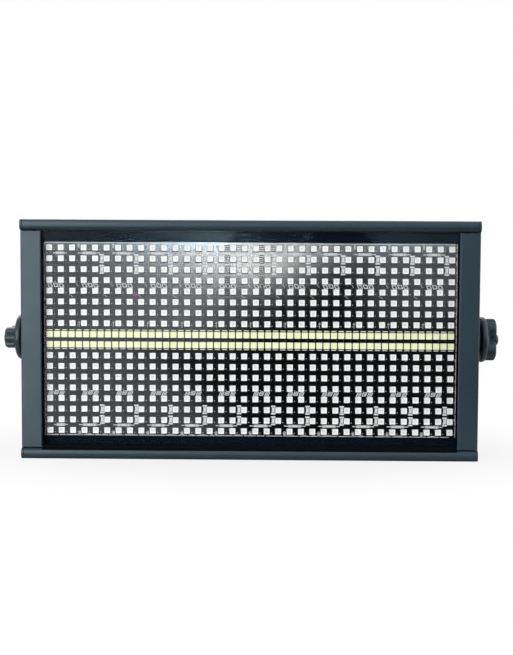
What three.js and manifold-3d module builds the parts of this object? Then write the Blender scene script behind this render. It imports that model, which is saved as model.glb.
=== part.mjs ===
// LED strobe panel for stage lighting, with a tilting bracket clamped by two hand knobs.
// Millimetres. X runs to the right, Y to the back and Z up. The front glass faces -Y.
// The origin is the middle of the flat underside that the panel stands on.
import * as THREE from "three";
import { mergeGeometries, mergeVertices } from "three/addons/utils/BufferGeometryUtils.js";
import Module from "manifold-3d";

const wasm = await Module();
wasm.setup();

// Whole housing
const bodyWidth = 397;
const bodyHeight = 208;
const bodyDepth = 92;
const sheet = 1.6;
const seat = 0.3; // clearance between pieces that bear on each other
const overrun = 1; // how far a cutter or a joined piece runs past a face

// Extruded rails
const noseHeight = 9.4;
const noseRadius = 3.6;
const rearLipRadius = 1;
const deck = 3;
const grooveDepth = 3;
const rearBarDepth = 6;
const ribThickness = 2;
const ribHeight = 4;
const bossWidth = 7.4;
const bossHeight = 6.2;
const frontBossY = -16;
const rearBossY = 24;

// Side plates
const flangeSetback = 2.5; // from the nose of a rail back to the flange
const flangeWidth = 17.8;
const flangeGap = 1; // between the end of a flange and the rail
const rearFlangeWidth = 12;
const bendRadius = 1.4;
const coverSetback = 1.4; // from the rear face of a rail to the face of the rear cover

// Glass and its gasket
const sealThickness = 1;
const sealWidth = 8;
const glassThickness = 3;

// LED board
const boardSideGap = 1.7; // from the edge of a flange to the board
const boardMargin = 19; // from the underside or top of the housing to the board
const boardThickness = 1.6;
const ledColumns = 36;
const ledRowsPerHalf = 8;
const ledSize = 5;
const ledHeight = 1.6;
const lastColumnInset = 4; // from the edge of the board to the last RGB column
const firstRowOffset = 14.1; // from the middle of the board to the first RGB row
const lastRowInset = 5.1; // from the edge of the board to the last RGB row
const whiteColumns = 56;
const whiteSize = 5.4;
const whiteRowOffset = 4.42;
const ledGap = 1.7; // between the LEDs and the glass

// Heat sink
const sinkBase = 4;
const sinkMargin = 6; // sideways past the board
const finCount = 25;
const finThickness = 2;
const finLength = 20;
const finInset = 12; // from the end of the base plate to the end of a fin

// Fans
const fanSize = 80;
const fanDepth = 25;
const fanCornerRadius = 4;
const fanBoreRadius = 37.5;
const fanHoleSpacing = 71.5;
const fanGap = 10; // between the two fans
const fanTipGap = 1.2;
const fanHubRadius = 16;
const fanHubGap = 1;
const fanBlades = 7;
const fanBladeThickness = 1.6;
const fanBladeChord = 20;
const fanArmThickness = 2.5;
const fanArmWidth = 5;
const fanShaftRadius = 1.5;
const guardWire = 2;
const guardRings = 3;
const guardPitch = 9;
const guardLugRadius = 4.4;

// Screws
const sideScrew = { radius: 1.6, head: 3.1, headHeight: 1.6, length: 12, recess: 1.2, recessDepth: 0.9 };
const coverScrew = { radius: 1.4, head: 2.8, headHeight: 1.8, length: 6, recess: 1, recessDepth: 1 };
const fanScrew = { radius: 1.9, head: 3.6, headHeight: 2.2, length: 13, recess: 1.3, recessDepth: 1.2 };
const coverScrewInset = 12; // from the upper or lower edge of the cover

// Bracket and its pivots
const discThickness = 1.2;
const discRadius = 16;
const strapThickness = 3;
const strapWidth = 30;
const strapBend = 4; // inside radius
const bracketReach = 125; // pivot line to the inside of the crossbar
const clampHoleRadius = 6.25;
const pivotScrewRadius = 4;
const pivotClearance = 0.4;
const washerThickness = 1.5;
const washerRadius = 11;
const nutThickness = 8;
const nutSize = 24;
const screwTip = 2; // screw past the nut

// Hand knobs
const skirtRadius = 20.4;
const skirtRim = 3;
const skirtShoulder = 5.8;
const skirtShoulderRadius = 17.4;
const skirtTop = 8;
const skirtTopRadius = 11.6;
const skirtEdge = 1;
const lobeRadius = 8;
const lobeOffset = 10;
const lobeSteps = 8;
const waistHalfWidth = 6;
const gripHeight = 18.6;
const gripEdge = 2;
const domeRadius = 7;
const domeHeight = 2;
const leftKnobTurn = THREE.MathUtils.degToRad(80);

// Power supply and control board
const supplyWidthShare = 0.75; // of the room beside the fans
const supplyDepth = 40;
const supplyHeightShare = 19 / 52; // of the housing's height
const supplyLip = 12;
const supplySideGap = 2; // from the fan frame
const controlWidthShare = 0.715; // of the room beside the fans
const controlHeightShare = 21 / 52; // of the housing's height
const controlThickness = 1.6;
const controlEdge = 1; // from the fan frame
const controlGap = 6; // from the top of the power supply to the control board
const standoffLength = 12;
const standoffRadius = 2.8;
const standoffInset = 5;
const displayWidth = 44;
const displayHeight = 19;
const displayRise = 22; // above the middle of the control board
const displayLip = 3;
const windowThickness = 1.2;
const chipHeight = 5;

// Push buttons
const buttonRadius = 3;
const buttonFlangeRadius = 4.2;
const buttonFlange = 1;
const buttonStemRadius = 1.8;
const buttonProud = 2;
const buttonTravel = 0.8;
const buttonPitch = 15;
const buttonDrop = 10; // below the middle of the control board

// Signal sockets
const socketColumnPitch = 40;
const socketWidth = 26;
const socketHeight = 31;
const socketFlange = 2;
const socketCorner = 3;
const socketBarrelRadius = 11.8;
const socketBarrelLength = 18;
const socketBoreRadius = 9.8;
const socketBoreDepth = 13;
const socketInsertRadius = 7.6;
const socketPinRadius = 1.2;
const socketPinLength = 10;
const socketPinCircle = 5;
const socketHoleRadius = 1.6;
const socketDropShare = 2 / 13; // below the middle of the housing, of its height
const latchWidth = 6;
const latchHeight = 2.6;
const latchLength = 9;
const latchProud = 1.8;
const latchTravel = 1.2;

// Power inlet and outlet
const inletWidth = 48;
const inletHeight = 24;
const inletFlange = 2.2;
const inletCorner = 2;
const inletBodyWidth = 28;
const inletBodyHeight = 20;
const inletBodyLength = 18;
const inletRecessWidth = 23;
const inletRecessHeight = 15.6;
const inletRecessDepth = 14;
const inletChamfer = 4;
const bladeWidth = 4;
const bladeThickness = 2;
const bladeLength = 11;
const bladeSpread = 7;
const bladeRise = 2.6;
const inletRiseShare = 31 / 104; // above the middle of the housing, of its height
const inletPitchShare = 17 / 104;

// Fuse
const fuseDropShare = 17 / 52; // below the middle of the housing, of its height
const fuseBezelRadius = 8.6;
const fuseBezel = 1.6;
const fuseBarrelRadius = 6.6;
const fuseBarrelLength = 26;
const fuseWall = 1.4;
const fuseCapRadius = 6.8;
const fuseCapHeight = 4.5;
const fuseStemLength = 10;
const fuseRadius = 2.5;
const fuseLength = 20;

// Eyebolt for a safety wire
const eyeRiseShare = 21 / 52; // above the middle of the housing, of its height
const eyeRadius = 9;
const eyeWire = 2.5;
const eyeWireSides = 8;
const eyeCollarRadius = 7;
const eyeCollar = 2;
const eyeShankRadius = 3;
const eyeShankLength = 9;

// Sides of the polygons that stand for circles
const fineSides = 24;
const mediumSides = 16;
const smallSides = 10;
const screwSides = 8;
const guardSides = 14;
const hexSides = 6;
const filletSteps = 3;

// Places that several pieces share
const frontY = -bodyDepth / 2;
const backY = bodyDepth / 2;
const middleZ = bodyHeight / 2;
const webOuter = bodyWidth / 2;
const webInner = webOuter - sheet;
const windowHalf = webOuter - flangeWidth;
const flangeFront = frontY + flangeSetback;
const sealFront = flangeFront + sheet + seat;
const glassFront = sealFront + sealThickness + seat;
const glassBack = glassFront + glassThickness;
const ledTop = glassBack + ledGap;
const boardWidth = 2 * (windowHalf - boardSideGap);
const boardHeight = bodyHeight - 2 * boardMargin;
const ledPitchX = (boardWidth - 2 * lastColumnInset) / (ledColumns - 1);
const ledPitchZ = (boardHeight / 2 - lastRowInset - firstRowOffset) / (ledRowsPerHalf - 1);
const boardFront = ledTop + ledHeight;
const boardBack = boardFront + boardThickness;
const sinkFront = boardBack + seat;
const sinkBack = sinkFront + sinkBase;
const coverOuter = backY - coverSetback;
const coverInner = coverOuter - sheet;
const rearFlangeBack = coverInner - seat;
const coverFace = coverOuter + seat; // where what sits on the cover begins
const bossZ = deck + bossHeight / 2;
const fanX = (fanSize + fanGap) / 2;
const fanFront = coverInner - seat - fanDepth;
const fanOuterEdge = fanX + fanSize / 2;
const guardFront = coverFace;
const guardBack = guardFront + guardWire;
const pivotZ = middleZ;
const pivotHoleRadius = pivotScrewRadius + pivotClearance;
const discInner = webOuter + seat;
const armInner = discInner + discThickness + seat;
const armOuter = armInner + strapThickness;
const washerInner = armOuter + seat;
const knobBase = washerInner + washerThickness + seat;
const nutInner = webInner - seat - nutThickness;
const panelX = (fanOuterEdge + webOuter - rearFlangeWidth) / 2; // middle of each rear quarter
const bossTop = deck + bossHeight;
const supplyTop = bossTop + seat + supplyHeightShare * bodyHeight;
const sideRoom = webInner - fanOuterEdge;
const controlWidth = controlWidthShare * sideRoom;
const controlHeight = controlHeightShare * bodyHeight;
const controlX = fanOuterEdge + controlEdge + controlWidth / 2;
const controlZ = supplyTop + controlGap + controlHeight / 2;
const controlBack = coverInner - standoffLength - seat;
const displayZ = controlZ + displayRise;
const buttonZ = controlZ - buttonDrop;
const socketZ = middleZ - socketDropShare * bodyHeight;
const fuseZ = middleZ - fuseDropShare * bodyHeight;
const eyeZ = middleZ + eyeRiseShare * bodyHeight;

// Materials
const finish = (color, roughness, metalness) =>
  new THREE.MeshStandardMaterial({ color, roughness, metalness });
const paint = finish(0x465158, 0.55, 0.3);
const clearGlass = new THREE.MeshStandardMaterial({
  color: 0xdfe8ea,
  roughness: 0.05,
  metalness: 0,
  transparent: true,
  opacity: 0.3,
});
const foam = finish(0x101214, 0.9, 0);
const board = finish(0x16181a, 0.5, 0.1);
const aluminium = finish(0xb4b8bb, 0.35, 0.9);
const blackPlastic = finish(0x15181b, 0.4, 0);
const fanPlastic = finish(0x0c0d0e, 0.5, 0);
const zinc = finish(0xa9adb0, 0.3, 0.9);
const blackSteel = finish(0x202326, 0.45, 0.6);
const fibre = finish(0x2b2a28, 0.8, 0);
const cage = finish(0x9da3a6, 0.4, 0.8);
const circuit = finish(0x1d4a2c, 0.5, 0.1);
const smokedWindow = finish(0x16090b, 0.1, 0);
const fuseGlass = finish(0xd8dcd2, 0.1, 0.1);

// Solids from three.js geometry

// A closed solid from a geometry, with shared corners joined and flat slivers left out
function solidOf(geometry) {
  geometry.deleteAttribute("normal");
  geometry.deleteAttribute("uv");
  const merged = mergeVertices(geometry);
  const corners = merged.index.array;
  const triangles = [];
  for (let i = 0; i < corners.length; i += 3) {
    const [a, b, c] = corners.slice(i, i + 3);
    if (a !== b && b !== c && c !== a) triangles.push(a, b, c);
  }
  return new wasm.Manifold(new wasm.Mesh({
    numProp: 3,
    vertProperties: Float32Array.from(merged.attributes.position.array),
    triVerts: Uint32Array.from(triangles),
  }));
}

function geometryOf(solid) {
  const { vertProperties, triVerts } = solid.getMesh();
  const geometry = new THREE.BufferGeometry();
  geometry.setAttribute("position", new THREE.BufferAttribute(vertProperties, 3));
  geometry.setIndex(new THREE.BufferAttribute(triVerts, 1));
  geometry.computeVertexNormals();
  return geometry;
}

// The named mesh of one piece
function piece(name, solid, material) {
  const mesh = new THREE.Mesh(geometryOf(solid), material);
  mesh.name = name;
  return mesh;
}

// Arc points that round the corner between its neighbours
function fillet(before, corner, after, radius) {
  const toBefore = before.clone().sub(corner).normalize();
  const toAfter = after.clone().sub(corner).normalize();
  const half = Math.acos(THREE.MathUtils.clamp(toBefore.dot(toAfter), -1, 1)) / 2;
  const bisector = toBefore.clone().add(toAfter).normalize();
  const centre = corner.clone().addScaledVector(bisector, radius / Math.sin(half));
  const start = corner.clone().addScaledVector(toBefore, radius / Math.tan(half)).sub(centre);
  const end = corner.clone().addScaledVector(toAfter, radius / Math.tan(half)).sub(centre);
  const sweep = Math.atan2(start.cross(end), start.dot(end));
  return Array.from({ length: filletSteps + 1 }, (_, i) =>
    start.clone().rotateAround(new THREE.Vector2(), (sweep * i) / filletSteps).add(centre));
}

// Points through corners given as [u, v] or, where the corner is rounded, [u, v, radius]
function outline(corners) {
  const at = corners.map(([u, v]) => new THREE.Vector2(u, v));
  return corners.flatMap(([, , radius], i) => {
    if (!radius) return [at[i]];
    return fillet(at.at(i - 1), at[i], at[(i + 1) % at.length], radius);
  });
}

function circle(u, v, radius, sides) {
  return Array.from({ length: sides }, (_, i) => {
    const angle = ((i + 0.5) / sides) * 2 * Math.PI;
    return [u + radius * Math.cos(angle), v + radius * Math.sin(angle)];
  });
}

function rectangle(u0, u1, v0, v1, radius) {
  return [[u0, v0, radius], [u1, v0, radius], [u1, v1, radius], [u0, v1, radius]];
}

const unitX = new THREE.Vector3(1, 0, 0);
const unitY = new THREE.Vector3(0, 1, 0);
const unitZ = new THREE.Vector3(0, 0, 1);
const extrusionFrames = {
  x: new THREE.Matrix4().makeBasis(unitY, unitZ, unitX),
  y: new THREE.Matrix4().makeBasis(unitZ, unitX, unitY),
  z: new THREE.Matrix4().makeBasis(unitX, unitY, unitZ),
};
const latheFrames = {
  x: new THREE.Matrix4().makeBasis(unitZ, unitX, unitY),
  y: new THREE.Matrix4().makeBasis(unitX, unitY, unitZ),
  z: new THREE.Matrix4().makeBasis(unitY, unitZ, unitX),
};

// A straight prism along an axis. Corners are [y, z] along x, [x, z] along y and [x, y] along z.
function prism(axis, corners, from, to, holes = []) {
  const drawn = (list) => {
    const points = outline(list).map(({ x, y }) =>
      (axis === "y" ? new THREE.Vector2(y, x) : new THREE.Vector2(x, y)));
    return THREE.ShapeUtils.isClockWise(points) ? points.toReversed() : points;
  };
  const shape = new THREE.Shape(drawn(corners));
  shape.holes = holes.map((hole) => new THREE.Path(drawn(hole)));
  const low = Math.min(from, to);
  const depth = Math.max(from, to) - low;
  const geometry = new THREE.ExtrudeGeometry(shape, { depth, bevelEnabled: false });
  geometry.translate(0, 0, low);
  geometry.applyMatrix4(extrusionFrames[axis]);
  return solidOf(geometry);
}

// A solid turned about an axis, from a closed profile of [radius, place along the axis]
function turned(axis, profile, sides) {
  const points = profile.map(([radius, along]) => new THREE.Vector2(radius, along));
  const geometry = new THREE.LatheGeometry(points, sides);
  geometry.applyMatrix4(latheFrames[axis]);
  return solidOf(geometry);
}

function block(x0, x1, y0, y1, z0, z1) {
  const geometry = new THREE.BoxGeometry(Math.abs(x1 - x0), Math.abs(y1 - y0), Math.abs(z1 - z0));
  geometry.translate((x0 + x1) / 2, (y0 + y1) / 2, (z0 + z1) / 2);
  return geometry;
}

const boxSolid = (...limits) => solidOf(block(...limits));
const joined = (first, ...others) => others.reduce((sum, other) => sum.add(other), first);
const without = (first, ...others) => others.reduce((rest, other) => rest.subtract(other), first);
const corners4 = (u, v) => [[u, v], [-u, v], [-u, -v], [u, -v]];

// A screw along an axis with its head's bearing face at seatAt, the shank running against the axis
function screw(axis, size, seatAt, way, countersunk) {
  const headTop = seatAt + way * size.headHeight;
  const tip = seatAt - way * size.length;
  const neck = countersunk ? size.radius : size.head;
  const profile = [
    [0, tip],
    [size.radius, tip],
    [size.radius, seatAt],
    [neck, seatAt],
    [size.head, headTop],
    [0, headTop],
  ];
  const blank = turned(axis, way > 0 ? profile : profile.toReversed(), screwSides);
  const recess = circle(0, 0, size.recess, hexSides);
  return blank.subtract(prism(axis, recess, headTop - way * size.recessDepth, headTop + way * overrun));
}

// Rails

function railSolid(isTop) {
  const up = (z) => (isTop ? bodyHeight - z : z);
  const grooveFront = sealFront - seat;
  const grooveBack = glassBack + seat;
  const ribFront = sinkBack + seat;
  const rearBarFront = backY - rearBarDepth;
  const section = [
    [frontY, 0, noseRadius],
    [backY, 0, noseRadius],
    [backY, noseHeight, rearLipRadius],
    [rearBarFront, noseHeight],
    [rearBarFront, deck],
    [rearBossY + bossWidth / 2, deck],
    [rearBossY + bossWidth / 2, bossTop],
    [rearBossY - bossWidth / 2, bossTop],
    [rearBossY - bossWidth / 2, deck],
    [frontBossY + bossWidth / 2, deck],
    [frontBossY + bossWidth / 2, bossTop],
    [frontBossY - bossWidth / 2, bossTop],
    [frontBossY - bossWidth / 2, deck],
    [ribFront + ribThickness, deck],
    [ribFront + ribThickness, deck + ribHeight],
    [ribFront, deck + ribHeight],
    [ribFront, deck],
    [boardBack, deck],
    [boardBack, noseHeight],
    [grooveBack, noseHeight],
    [grooveBack, noseHeight - grooveDepth],
    [grooveFront, noseHeight - grooveDepth],
    [grooveFront, noseHeight],
    [frontY, noseHeight, noseRadius],
  ].map(([y, z, radius]) => [y, up(z), radius]);
  const half = webInner - seat;
  const rail = prism("x", section, -half, half);
  const holes = [-1, 1].flatMap((side) => [frontBossY, rearBossY].map((y) =>
    prism("x", circle(y, up(bossZ), sideScrew.radius + seat, screwSides),
      side * (half - sideScrew.length - seat), side * (half + overrun))));
  return without(rail, ...holes);
}

// Side plates

function sidePlateSolid(side) {
  const flangeEnd = noseHeight + flangeGap;
  const channel = prism("z", [
    [side * webOuter, flangeFront, bendRadius],
    [side * windowHalf, flangeFront, sheet / 2],
    [side * windowHalf, flangeFront + sheet],
    [side * webInner, flangeFront + sheet],
    [side * webInner, rearFlangeBack - sheet],
    [side * (webOuter - rearFlangeWidth), rearFlangeBack - sheet],
    [side * (webOuter - rearFlangeWidth), rearFlangeBack],
    [side * webOuter, rearFlangeBack, bendRadius],
  ], flangeEnd, bodyHeight - flangeEnd);
  const web = prism("x", rectangle(flangeFront + bendRadius, rearFlangeBack - bendRadius, 0, bodyHeight),
    side * webInner, side * webOuter);
  const railEnds = [0, bodyHeight - noseHeight].map((low) =>
    prism("x", rectangle(frontY, backY, low, low + noseHeight, noseRadius),
      side * webInner, side * webOuter));
  const pivotHole = prism("x", circle(0, pivotZ, pivotHoleRadius, mediumSides),
    side * (webInner - overrun), side * (webOuter + overrun));
  const screwHoles = sideScrewPlaces.map(([y, z]) =>
    countersink(side, y, z));
  const coverHoles = [-1, 1].map((way) =>
    prism("y",
      circle(side * coverScrewX, middleZ + way * coverScrewRise, coverScrew.radius + seat, screwSides),
      rearFlangeBack - sheet - overrun, rearFlangeBack + overrun));
  return without(joined(channel, web, ...railEnds), pivotHole, ...screwHoles, ...coverHoles);
}

const sideScrewPlaces = [frontBossY, rearBossY].flatMap((y) => [[y, bossZ], [y, bodyHeight - bossZ]]);
const coverScrewX = webOuter - rearFlangeWidth / 2;
const coverScrewRise = middleZ - noseHeight - coverScrewInset;

// The conical hole in a side plate for a countersunk screw
function countersink(side, y, z) {
  const clearance = sideScrew.radius + seat;
  const slope = (sideScrew.head - sideScrew.radius) / sideScrew.headHeight;
  const inside = webOuter - sideScrew.headHeight - overrun;
  const profile = [
    [0, inside],
    [clearance, inside],
    [clearance, webOuter - sideScrew.headHeight],
    [clearance + slope * (sideScrew.headHeight + overrun), webOuter + overrun],
    [0, webOuter + overrun],
  ];
  const cone = turned("x", profile, screwSides);
  return (side > 0 ? cone : cone.rotate([0, 0, 180])).translate([0, y, z]);
}

// Glass and gasket

function glassSolid() {
  const half = webInner - seat;
  const low = noseHeight - grooveDepth + seat;
  return boxSolid(-half, half, glassFront, glassBack, low, bodyHeight - low);
}

function sealSolid() {
  const half = webInner - seat;
  const low = noseHeight - grooveDepth + seat;
  const inner = noseHeight - seat;
  return prism("y", rectangle(-half, half, low, bodyHeight - low), sealFront, sealFront + sealThickness,
    [rectangle(sealWidth - half, half - sealWidth, inner, bodyHeight - inner)]);
}

// LED board with its 688 packages

function ledBlocks(columns, pitch, size, rowOffsets) {
  const sunk = boardFront + boardThickness / 2;
  return rowOffsets.flatMap((offset) =>
    Array.from({ length: columns }, (_, column) => {
      const x = (column - (columns - 1) / 2) * pitch;
      const z = middleZ + offset;
      return block(x - size / 2, x + size / 2, ledTop, sunk, z - size / 2, z + size / 2);
    }));
}

function ledBoardSolid() {
  const rows = Array.from({ length: ledRowsPerHalf }, (_, row) => firstRowOffset + row * ledPitchZ);
  const whitePitch = ((ledColumns - 1) * ledPitchX) / (whiteColumns - 1);
  const leds = mergeGeometries([
    ...ledBlocks(ledColumns, ledPitchX, ledSize, rows.flatMap((offset) => [offset, -offset])),
    ...ledBlocks(whiteColumns, whitePitch, whiteSize, [whiteRowOffset, -whiteRowOffset]),
  ]);
  const plate = boxSolid(-boardWidth / 2, boardWidth / 2, boardFront, boardBack,
    middleZ - boardHeight / 2, middleZ + boardHeight / 2);
  return plate.add(solidOf(leds));
}

// Heat sink with upright fins

function heatSinkSolid() {
  const half = boardWidth / 2 + sinkMargin;
  const low = deck + seat;
  const base = boxSolid(-half, half, sinkFront, sinkBack, low, bodyHeight - low);
  const firstFin = boardWidth / 2 - finThickness;
  const root = sinkBack - sinkBase / 2;
  const fins = Array.from({ length: finCount }, (_, i) => {
    const x = -firstFin + (2 * firstFin * i) / (finCount - 1);
    return block(x - finThickness / 2, x + finThickness / 2, root, sinkBack + finLength,
      low + finInset, bodyHeight - low - finInset);
  });
  return base.add(solidOf(mergeGeometries(fins)));
}

// Rear cover

function coverSolid() {
  const half = webOuter - seat;
  const low = noseHeight + seat;
  const inletHalfX = inletBodyWidth / 2 + seat;
  const inletHalfZ = inletBodyHeight / 2 + seat;
  const through = (corners) => prism("y", corners, coverInner - overrun, coverOuter + overrun);
  const cuts = [
    ...[-1, 1].map((side) => through(circle(side * fanX, middleZ, fanBoreRadius, fineSides))),
    ...[-1, 1].flatMap((side) => corners4(fanHoleSpacing / 2, fanHoleSpacing / 2).map(([x, z]) =>
      through(circle(side * fanX + x, middleZ + z, fanScrew.radius + seat, screwSides)))),
    ...corners4(coverScrewX, coverScrewRise).map(([x, z]) =>
      through(circle(x, middleZ + z, coverScrew.radius + seat, screwSides))),
    through(rectangle(controlX - displayWidth / 2 - seat, controlX + displayWidth / 2 + seat,
      displayZ - displayHeight / 2 - seat, displayZ + displayHeight / 2 + seat)),
    ...buttonPlaces.map(([, x]) => through(circle(x, buttonZ, buttonRadius + seat, smallSides))),
    ...socketPlaces.map((x) => through(circle(x, socketZ, socketBarrelRadius + seat, mediumSides))),
    ...inletPlaces.map((z) => through(rectangle(-panelX - inletHalfX, -panelX + inletHalfX,
      z - inletHalfZ, z + inletHalfZ))),
    through(circle(-panelX, fuseZ, fuseBarrelRadius + seat, smallSides)),
    through(circle(0, eyeZ, eyeShankRadius + seat, smallSides)),
  ];
  const panel = prism("y", rectangle(-half, half, low, bodyHeight - low), coverInner, coverOuter);
  const standoffPlaces = corners4(controlWidth / 2 - standoffInset, controlHeight / 2 - standoffInset);
  const standoffs = standoffPlaces.map(([x, z]) =>
    prism("y", circle(controlX + x, controlZ + z, standoffRadius, screwSides),
      coverInner - standoffLength, coverInner + sheet / 2));
  return joined(without(panel, ...cuts), ...standoffs);
}

const buttonPlaces = ["menu_button", "up_button", "down_button", "enter_button"].map((name, i) =>
  [name, controlX + (1.5 - i) * buttonPitch]);
const socketPlaces = [1, -1].map((way) => -panelX + (way * socketColumnPitch) / 2);
const inletPlaces = [inletRiseShare, inletRiseShare - inletPitchShare].map((share) =>
  middleZ + share * bodyHeight);

// Fans, each drawn about its own middle line

function fanFrameSolid() {
  const half = fanSize / 2;
  const holes = corners4(fanHoleSpacing / 2, fanHoleSpacing / 2).map(([x, z]) =>
    circle(x, z, fanScrew.radius + seat, screwSides));
  const shell = prism("y", rectangle(-half, half, -half, half, fanCornerRadius),
    fanFront, fanFront + fanDepth, [circle(0, 0, fanBoreRadius, fineSides), ...holes]);
  const armBack = fanFront + fanArmThickness;
  const reach = fanBoreRadius + fanArmWidth / 2;
  const arms = [0, Math.PI / 2].map((angle) =>
    solidOf(block(-reach, reach, fanFront, armBack, -fanArmWidth / 2, fanArmWidth / 2).rotateY(angle)));
  const bearing = prism("y", circle(0, 0, fanHubRadius, mediumSides), fanFront, armBack);
  const bore = prism("y", circle(0, 0, fanShaftRadius + seat, smallSides),
    fanFront - overrun, armBack + overrun);
  return without(joined(shell, ...arms, bearing), bore);
}

function fanRotorSolid() {
  const hubFront = fanFront + fanArmThickness + fanHubGap;
  const hubBack = fanFront + fanDepth - fanHubGap;
  const hub = turned("y", [
    [0, hubFront],
    [fanHubRadius, hubFront],
    [fanHubRadius, hubBack],
    [0, hubBack],
  ], mediumSides);
  const shaft = prism("y", circle(0, 0, fanShaftRadius, smallSides), fanFront, hubFront + overrun);
  const tip = Math.sqrt((fanBoreRadius - fanTipGap) ** 2 - (fanBladeChord / 2) ** 2);
  const root = fanHubRadius - fanBladeThickness;
  const bladeFront = hubFront + fanHubGap;
  const bladeBack = hubBack - fanHubGap;
  const reach = fanBladeChord / 2;
  const blade = prism("z", [
    [-reach, bladeFront],
    [-reach + 2 * fanBladeThickness, bladeFront],
    [reach, bladeBack],
    [reach - 2 * fanBladeThickness, bladeBack],
  ], root, tip);
  const blades = Array.from({ length: fanBlades }, (_, i) => blade.rotate([0, (360 * i) / fanBlades, 0]));
  return joined(hub, shaft, ...blades);
}

function fanGuardSolid() {
  const ring = (radius) => prism("y", circle(0, 0, radius + guardWire / 2, guardSides), guardFront, guardBack,
    [circle(0, 0, radius - guardWire / 2, guardSides)]);
  const outer = fanBoreRadius - guardWire / 2;
  const rings = Array.from({ length: guardRings }, (_, i) => ring(outer - i * guardPitch));
  const middle = prism("y", circle(0, 0, outer - guardRings * guardPitch, screwSides), guardFront, guardBack);
  const lug = fanHoleSpacing / 2;
  const reach = lug * Math.SQRT2;
  const bars = [Math.PI / 4, -Math.PI / 4].map((angle) =>
    solidOf(block(-reach, reach, guardFront, guardBack, -guardWire / 2, guardWire / 2).rotateY(angle)));
  const lugs = corners4(lug, lug).map(([x, z]) =>
    prism("y", circle(x, z, guardLugRadius, screwSides), guardFront, guardBack));
  const holes = corners4(lug, lug).map(([x, z]) =>
    prism("y", circle(x, z, fanScrew.radius + seat, screwSides), guardFront - overrun, guardBack + overrun));
  return without(joined(middle, ...rings, ...bars, ...lugs), ...holes);
}

// Bracket, drawn about the pivot line

function yokeSolid() {
  const back = bracketReach + strapThickness;
  const strap = prism("z", [
    [-armOuter, 0],
    [-armInner, 0],
    [-armInner, bracketReach, strapBend],
    [armInner, bracketReach, strapBend],
    [armInner, 0],
    [armOuter, 0],
    [armOuter, back, strapBend + strapThickness],
    [-armOuter, back, strapBend + strapThickness],
  ], -strapWidth / 2, strapWidth / 2);
  const ends = [-1, 1].map((side) =>
    prism("x", circle(0, 0, strapWidth / 2, fineSides), side * armInner, side * armOuter));
  const pivotHoles = [-1, 1].map((side) => prism("x", circle(0, 0, pivotHoleRadius, mediumSides),
    side * (armInner - overrun), side * (armOuter + overrun)));
  const clampHole = prism("y", circle(0, 0, clampHoleRadius, mediumSides),
    bracketReach - overrun, back + overrun);
  return without(joined(strap, ...ends), ...pivotHoles, clampHole);
}

const ringSolid = (radius, from, to) =>
  prism("x", circle(0, 0, radius, mediumSides), from, to, [circle(0, 0, pivotHoleRadius, mediumSides)]);

function pivotNutSolid() {
  const half = nutSize / 2;
  return prism("x", rectangle(-half, half, -half, half), nutInner, nutInner + nutThickness,
    [circle(0, 0, pivotHoleRadius, mediumSides)]);
}

// Knob with its screw, pointing along +X, the pivot line being its own
function knobSolid() {
  const tip = nutInner - screwTip;
  const top = knobBase + skirtTop;
  const body = turned("x", [
    [0, tip],
    [pivotScrewRadius, tip],
    [pivotScrewRadius, knobBase],
    [skirtRadius - skirtEdge, knobBase],
    [skirtRadius, knobBase + skirtEdge],
    [skirtRadius, knobBase + skirtRim],
    [skirtShoulderRadius, knobBase + skirtShoulder],
    [skirtTopRadius, top],
    [0, top],
  ], fineSides);
  const gripTop = knobBase + gripHeight;
  const lobe = (way) => Array.from({ length: lobeSteps + 1 }, (_, i) => {
    const angle = way * Math.PI / 2 - Math.PI / 2 + (Math.PI * i) / lobeSteps;
    return [lobeRadius * Math.cos(angle), way * lobeOffset + lobeRadius * Math.sin(angle)];
  });
  const gripOutline = [...lobe(1), [-waistHalfWidth, 0], ...lobe(-1), [waistHalfWidth, 0]];
  const narrowed = 1 - gripEdge / (2 * lobeRadius);
  const shortened = 1 - gripEdge / (lobeOffset + lobeRadius);
  const inset = gripOutline.map(([y, z]) => [y * narrowed, z * shortened]);
  const grip = prism("x", gripOutline, knobBase + skirtRim, gripTop - gripEdge);
  const crown = prism("x", inset, gripTop - 2 * gripEdge, gripTop);
  const dome = turned("x", [
    [0, gripTop - gripEdge],
    [domeRadius, gripTop - gripEdge],
    [domeRadius, gripTop],
    [domeRadius / 2, gripTop + domeHeight],
    [0, gripTop + domeHeight],
  ], smallSides);
  return joined(body, grip, crown, dome);
}

// Power supply, a covered unit with an open terminal end

function powerSupplySolid() {
  const x0 = fanOuterEdge + supplySideGap;
  const x1 = x0 + supplyWidthShare * sideRoom;
  const y1 = rearBossY + supplyDepth / 4;
  const y0 = y1 - supplyDepth;
  const low = bossTop + seat;
  return prism("x", [
    [y0, low],
    [y1, low],
    [y1, low + supplyLip],
    [y1 - supplyLip, low + supplyLip],
    [y1 - supplyLip, supplyTop - sheet],
    [y1 - supplyLip - sheet, supplyTop],
    [y0 + sheet, supplyTop],
    [y0, supplyTop - sheet],
  ], x0, x1);
}

// Control board with the parts that are soldered to it

function controlBoardSolid() {
  const front = controlBack - controlThickness;
  const plate = boxSolid(controlX - controlWidth / 2, controlX + controlWidth / 2, front, controlBack,
    controlZ - controlHeight / 2, controlZ + controlHeight / 2);
  const displayUnit = boxSolid(controlX - displayWidth / 2, controlX + displayWidth / 2,
    controlBack - controlThickness / 2, coverInner,
    displayZ - displayHeight / 2, displayZ + displayHeight / 2);
  const chip = boxSolid(controlX - chipHeight, controlX + chipHeight,
    front - chipHeight, controlBack - controlThickness / 2, controlZ - chipHeight, controlZ + chipHeight);
  return joined(plate, displayUnit, chip);
}

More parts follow.
